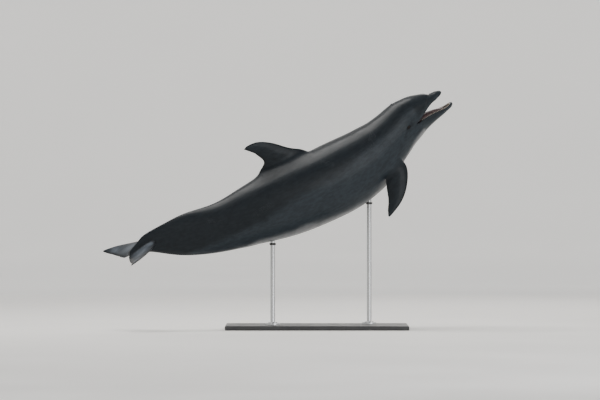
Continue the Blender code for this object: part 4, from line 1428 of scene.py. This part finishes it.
class DOLPHIN_OT_tongue(bpy.types.Operator):
    """Build the tongue"""
    bl_idname = "dolphin.tongue"
    bl_label = "Tongue"

    def execute(self, context):
        mouth = context.scene.dolphin_mouth
        middle, half_length, share_of_jaw, height, under = TONGUE
        depth, width = TONGUE_GROOVE
        mesh = bmesh.new()
        bmesh.ops.create_uvsphere(mesh, u_segments=48, v_segments=40, radius=1.0)
        bmesh.ops.rotate(mesh, verts=mesh.verts, matrix=Matrix.Rotation(math.pi / 2, 3, "Y"))
        for vert in mesh.verts:
            back = middle - vert.co.x * half_length
            half = jaw_value(LOWER_JAW, 4, back) * share_of_jaw
            level = jaw_value(LOWER_JAW, 1, back) - under
            ease = math.sqrt(max(0.0, 1.0 - vert.co.x ** 2))
            groove = depth * math.exp(-(vert.co.y / width) ** 2) * max(0.0, vert.co.z)
            wave = noise.noise(Vector((back * 60.0, vert.co.y * 4.0, 2.0)))
            ripple = TONGUE_RIPPLE * wave * ease
            vert.co = head_point(back, vert.co.y * half,
                                 level + vert.co.z * height - groove + ripple)
        face_out(mesh)
        mesh.transform(LEAP)
        finish = plain_finish("dolphin_tongue", mouth.tongue_colour, mouth.gum_colour, 0.30,
                              45.0, 0.0006, Coat_Weight=0.3, Coat_Roughness=0.20)
        settle(show("tongue_flesh", mesh), finish, "tongue", "tongue")
        return {"FINISHED"}


class DOLPHIN_OT_stand(bpy.types.Operator):
    """Finish the display stand: rods, collars, screws and base"""
    bl_idname = "dolphin.stand"
    bl_label = "Stand"

    def execute(self, context):
        stand = context.scene.dolphin_stand
        steel = Finish("stand_steel", stand.rod_colour, 0.28, Metallic=1.0)
        brushed = steel.noise(steel.stretch(steel.place(), (60.0, 60.0, 900.0)), 1.0, 3.0, 0.6)
        steel.set("Roughness", steel.fit(brushed, 0.3, 0.7, 0.22, 0.36))
        steel.set("Normal", steel.bump(brushed, 0.00004))
        rubber = plain_finish("stand_rubber", (0.020, 0.020, 0.021), (0.012, 0.012, 0.013),
                              0.62, 40.0, 0.0002)
        zinc = plain_finish("stand_screw", (0.480, 0.485, 0.490), (0.360, 0.365, 0.370), 0.30,
                            120.0, 0.00005, Metallic=1.0)
        black = plain_finish("stand_lacquer", stand.base_colour, (0.022, 0.023, 0.025), 0.42,
                             7.0, 0.00015)
        paint(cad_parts["stand_base"], black)

        screws = bmesh.new()
        collars = bmesh.new()
        for name in ("front", "rear"):
            node = "stand_rod_" + name
            low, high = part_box(node)
            middle = (low + high) / 2.0
            foot = (high.x - low.x) / 2.0
            rod = self.rod(node + "_turned", middle, foot, low.z, high.z)
            settle(rod, steel, "stand_rod", node)
            self.foot_screws(screws, stand.screw_radius, middle, foot, low.z)
            self.collar(collars, stand.collar_height, middle, high.z - ROD_DEPTH - COLLAR_DROP)
        settle(show("stand_screws", screws), zinc, "stand_rod")
        settle(show("stand_collars", collars), rubber, "stand_base")
        return {"FINISHED"}

    @staticmethod
    def rod(name, middle, foot, floor, top):
        """A turned rod with its round foot."""
        outline = [(0.0, top), (ROD_RADIUS - 0.001, top), (ROD_RADIUS, top - 0.001)]
        outline += [(ROD_RADIUS + wide, floor + high) for wide, high in ROD_SHOULDER]
        outline += [(foot + wide, floor + high) for wide, high in ROD_FOOT]
        outline.append((0.0, floor))
        mesh = bmesh.new()
        verts = [mesh.verts.new((middle.x + radius, middle.y, height))
                 for radius, height in outline]
        edges = [mesh.edges.new(pair) for pair in zip(verts, verts[1:])]
        bmesh.ops.spin(mesh, geom=verts + edges, cent=(middle.x, middle.y, 0.0), axis=UPRIGHT,
                       angle=2.0 * math.pi, steps=48, use_merge=True)
        bmesh.ops.remove_doubles(mesh, verts=mesh.verts, dist=1e-6)
        face_out(mesh)
        obj = show(name, mesh)
        obj.data.set_sharp_from_angle(angle=math.radians(40.0))
        return obj

    @staticmethod
    def foot_screws(mesh, radius, middle, foot, floor):
        """Four socket screws in a rod's foot."""
        height, thick = SCREW_HEAD
        reach = (foot + ROD_RADIUS) / 2.0 + 2.0 * MM
        for quarter in range(4):
            turn = math.radians(45.0 + 90.0 * quarter)
            spot = Vector((middle.x + reach * math.cos(turn), middle.y + reach * math.sin(turn),
                           floor + height))
            head = bmesh.ops.create_cone(mesh, cap_ends=True, segments=24, depth=thick,
                                         radius1=radius, radius2=radius,
                                         matrix=Matrix.Translation(spot))["verts"]
            faces = once(face for vert in head for face in vert.link_faces)
            top = [face for face in faces
                   if face.calc_center_median().z > spot.z + 0.4 * thick]
            bmesh.ops.inset_region(mesh, faces=top, thickness=radius * 0.45, depth=0.0)
            bmesh.ops.inset_region(mesh, faces=top, thickness=0.0003, depth=-0.0022)

    @staticmethod
    def collar(mesh, height, middle, low):
        """A soft ring round a rod, just under the belly."""
        inner, outer = ROD_RADIUS + 0.2 * MM, ROD_RADIUS + 6.0 * MM
        soft = 2.0 * MM                 # chamfer of its outer edges
        spot = Matrix.Translation((middle.x, middle.y, low))
        ring = bmesh.ops.create_circle(mesh, segments=48, radius=inner, cap_ends=False,
                                       matrix=spot)["verts"]
        high = low + height
        widen(mesh, rim_edges(ring), middle.xy, (
            (outer - soft, low), (outer, low + soft), (outer, high - soft),
            (outer - soft, high), (inner, high)))
        rims = [edge for edge in mesh.edges if len(edge.link_faces) == 1]
        bmesh.ops.bridge_loops(mesh, edges=rims)
        face_out(mesh)


class DOLPHIN_OT_stage(bpy.types.Operator):
    """Set the floor, the lights and the camera"""
    bl_idname = "dolphin.stage"
    bl_label = "Stage"

    def execute(self, context):
        stage = context.scene.dolphin_stage
        mesh = bmesh.new()
        ring = bmesh.ops.create_circle(mesh, segments=96, radius=FLOOR_RADIUS,
                                       cap_ends=True)["verts"]
        widen(mesh, rim_edges(ring), (0.0, 0.0), WALL)
        face_out(mesh)
        floor = show("studio_floor", mesh)
        plaster = plain_finish("studio_floor", stage.floor_colour,
                               [0.97 * value for value in stage.floor_colour], 0.75, 0.4, 0.0002)
        spot = plaster.node("SeparateXYZ", plaster.place())
        away = plaster.size(plaster.join(spot.outputs["X"], spot.outputs["Y"]))
        plaster.set("Emission Color", (*stage.floor_colour, 1.0))
        plaster.set("Emission Strength", plaster.plus(
            plaster.fit(away, *GLOW_NEAR, 0.0, stage.backdrop),
            plaster.fit(away, *GLOW_FAR, 0.0, 0.12)))
        paint(floor, plaster)

        world = bpy.data.worlds.new("studio")
        world.use_nodes = True
        sky = world.node_tree.nodes["Background"]
        sky.inputs["Color"].default_value = (0.92, 0.95, 1.0, 1.0)
        sky.inputs["Strength"].default_value = stage.sky
        context.scene.world = world
        for name, place, size, tint in LAMPS:
            light = bpy.data.lights.new(name, "AREA")
            light.shape = "DISK"
            light.size = size
            light.energy = getattr(stage, name)
            light.color = tint
            lamp = bpy.data.objects.new(name, light)
            lamp.location = place
            lamp.rotation_euler = (Vector(place) - LAMP_AIM).to_track_quat("Z", "Y").to_euler()
            lamp.visible_camera = False
            context.scene.collection.objects.link(lamp)

        lens = bpy.data.cameras.new("camera")
        lens.lens = stage.lens
        lens.sensor_width = 36.0
        lens.clip_end = 200.0
        camera = bpy.data.objects.new("camera", lens)
        camera.location = (CAMERA_SIDE, -stage.distance, CAMERA_HEIGHT)
        camera.rotation_euler = (math.radians(90.0), 0.0, 0.0)
        context.scene.collection.objects.link(camera)
        context.scene.camera = camera
        return {"FINISHED"}


class DOLPHIN_PT_panel(bpy.types.Panel):
    """Sizes, colours and build steps of the dolphin"""
    bl_label = "Dolphin"
    bl_idname = "DOLPHIN_PT_panel"
    bl_space_type = "VIEW_3D"
    bl_region_type = "UI"
    bl_category = "Dolphin"

    def draw(self, context):
        for operator, settings in STEPS:
            box = self.layout.box()
            box.operator(operator.bl_idname)
            group = getattr(context.scene, settings)
            for name in type(group).__annotations__:
                box.prop(group, name)


GROUPS = (
    ("dolphin_skin", DOLPHIN_PG_skin),
    ("dolphin_eye", DOLPHIN_PG_eye),
    ("dolphin_mouth", DOLPHIN_PG_mouth),
    ("dolphin_stand", DOLPHIN_PG_stand),
    ("dolphin_stage", DOLPHIN_PG_stage),
)
STEPS = (
    (DOLPHIN_OT_skin, "dolphin_skin"),
    (DOLPHIN_OT_eyes, "dolphin_eye"),
    (DOLPHIN_OT_teeth, "dolphin_mouth"),
    (DOLPHIN_OT_tongue, "dolphin_mouth"),
    (DOLPHIN_OT_stand, "dolphin_stand"),
    (DOLPHIN_OT_stage, "dolphin_stage"),
)


def register():
    """Register the settings, the steps and the panel."""
    for name, group in GROUPS:
        bpy.utils.register_class(group)
        setattr(bpy.types.Scene, name, PointerProperty(type=group))
    for operator, _ in STEPS:
        bpy.utils.register_class(operator)
    bpy.utils.register_class(DOLPHIN_PT_panel)


def unregister():
    """Take the panel, the steps and the settings away again."""
    bpy.utils.unregister_class(DOLPHIN_PT_panel)
    for operator, _ in reversed(STEPS):
        bpy.utils.unregister_class(operator)
    for name, group in reversed(GROUPS):
        delattr(bpy.types.Scene, name)
        bpy.utils.unregister_class(group)


def main():
    """Build every piece in order."""
    register()
    bpy.ops.dolphin.skin()
    bpy.ops.dolphin.eyes()
    bpy.ops.dolphin.teeth()
    bpy.ops.dolphin.tongue()
    bpy.ops.dolphin.stand()
    bpy.ops.dolphin.stage()


if __name__ == "__main__":
    main()
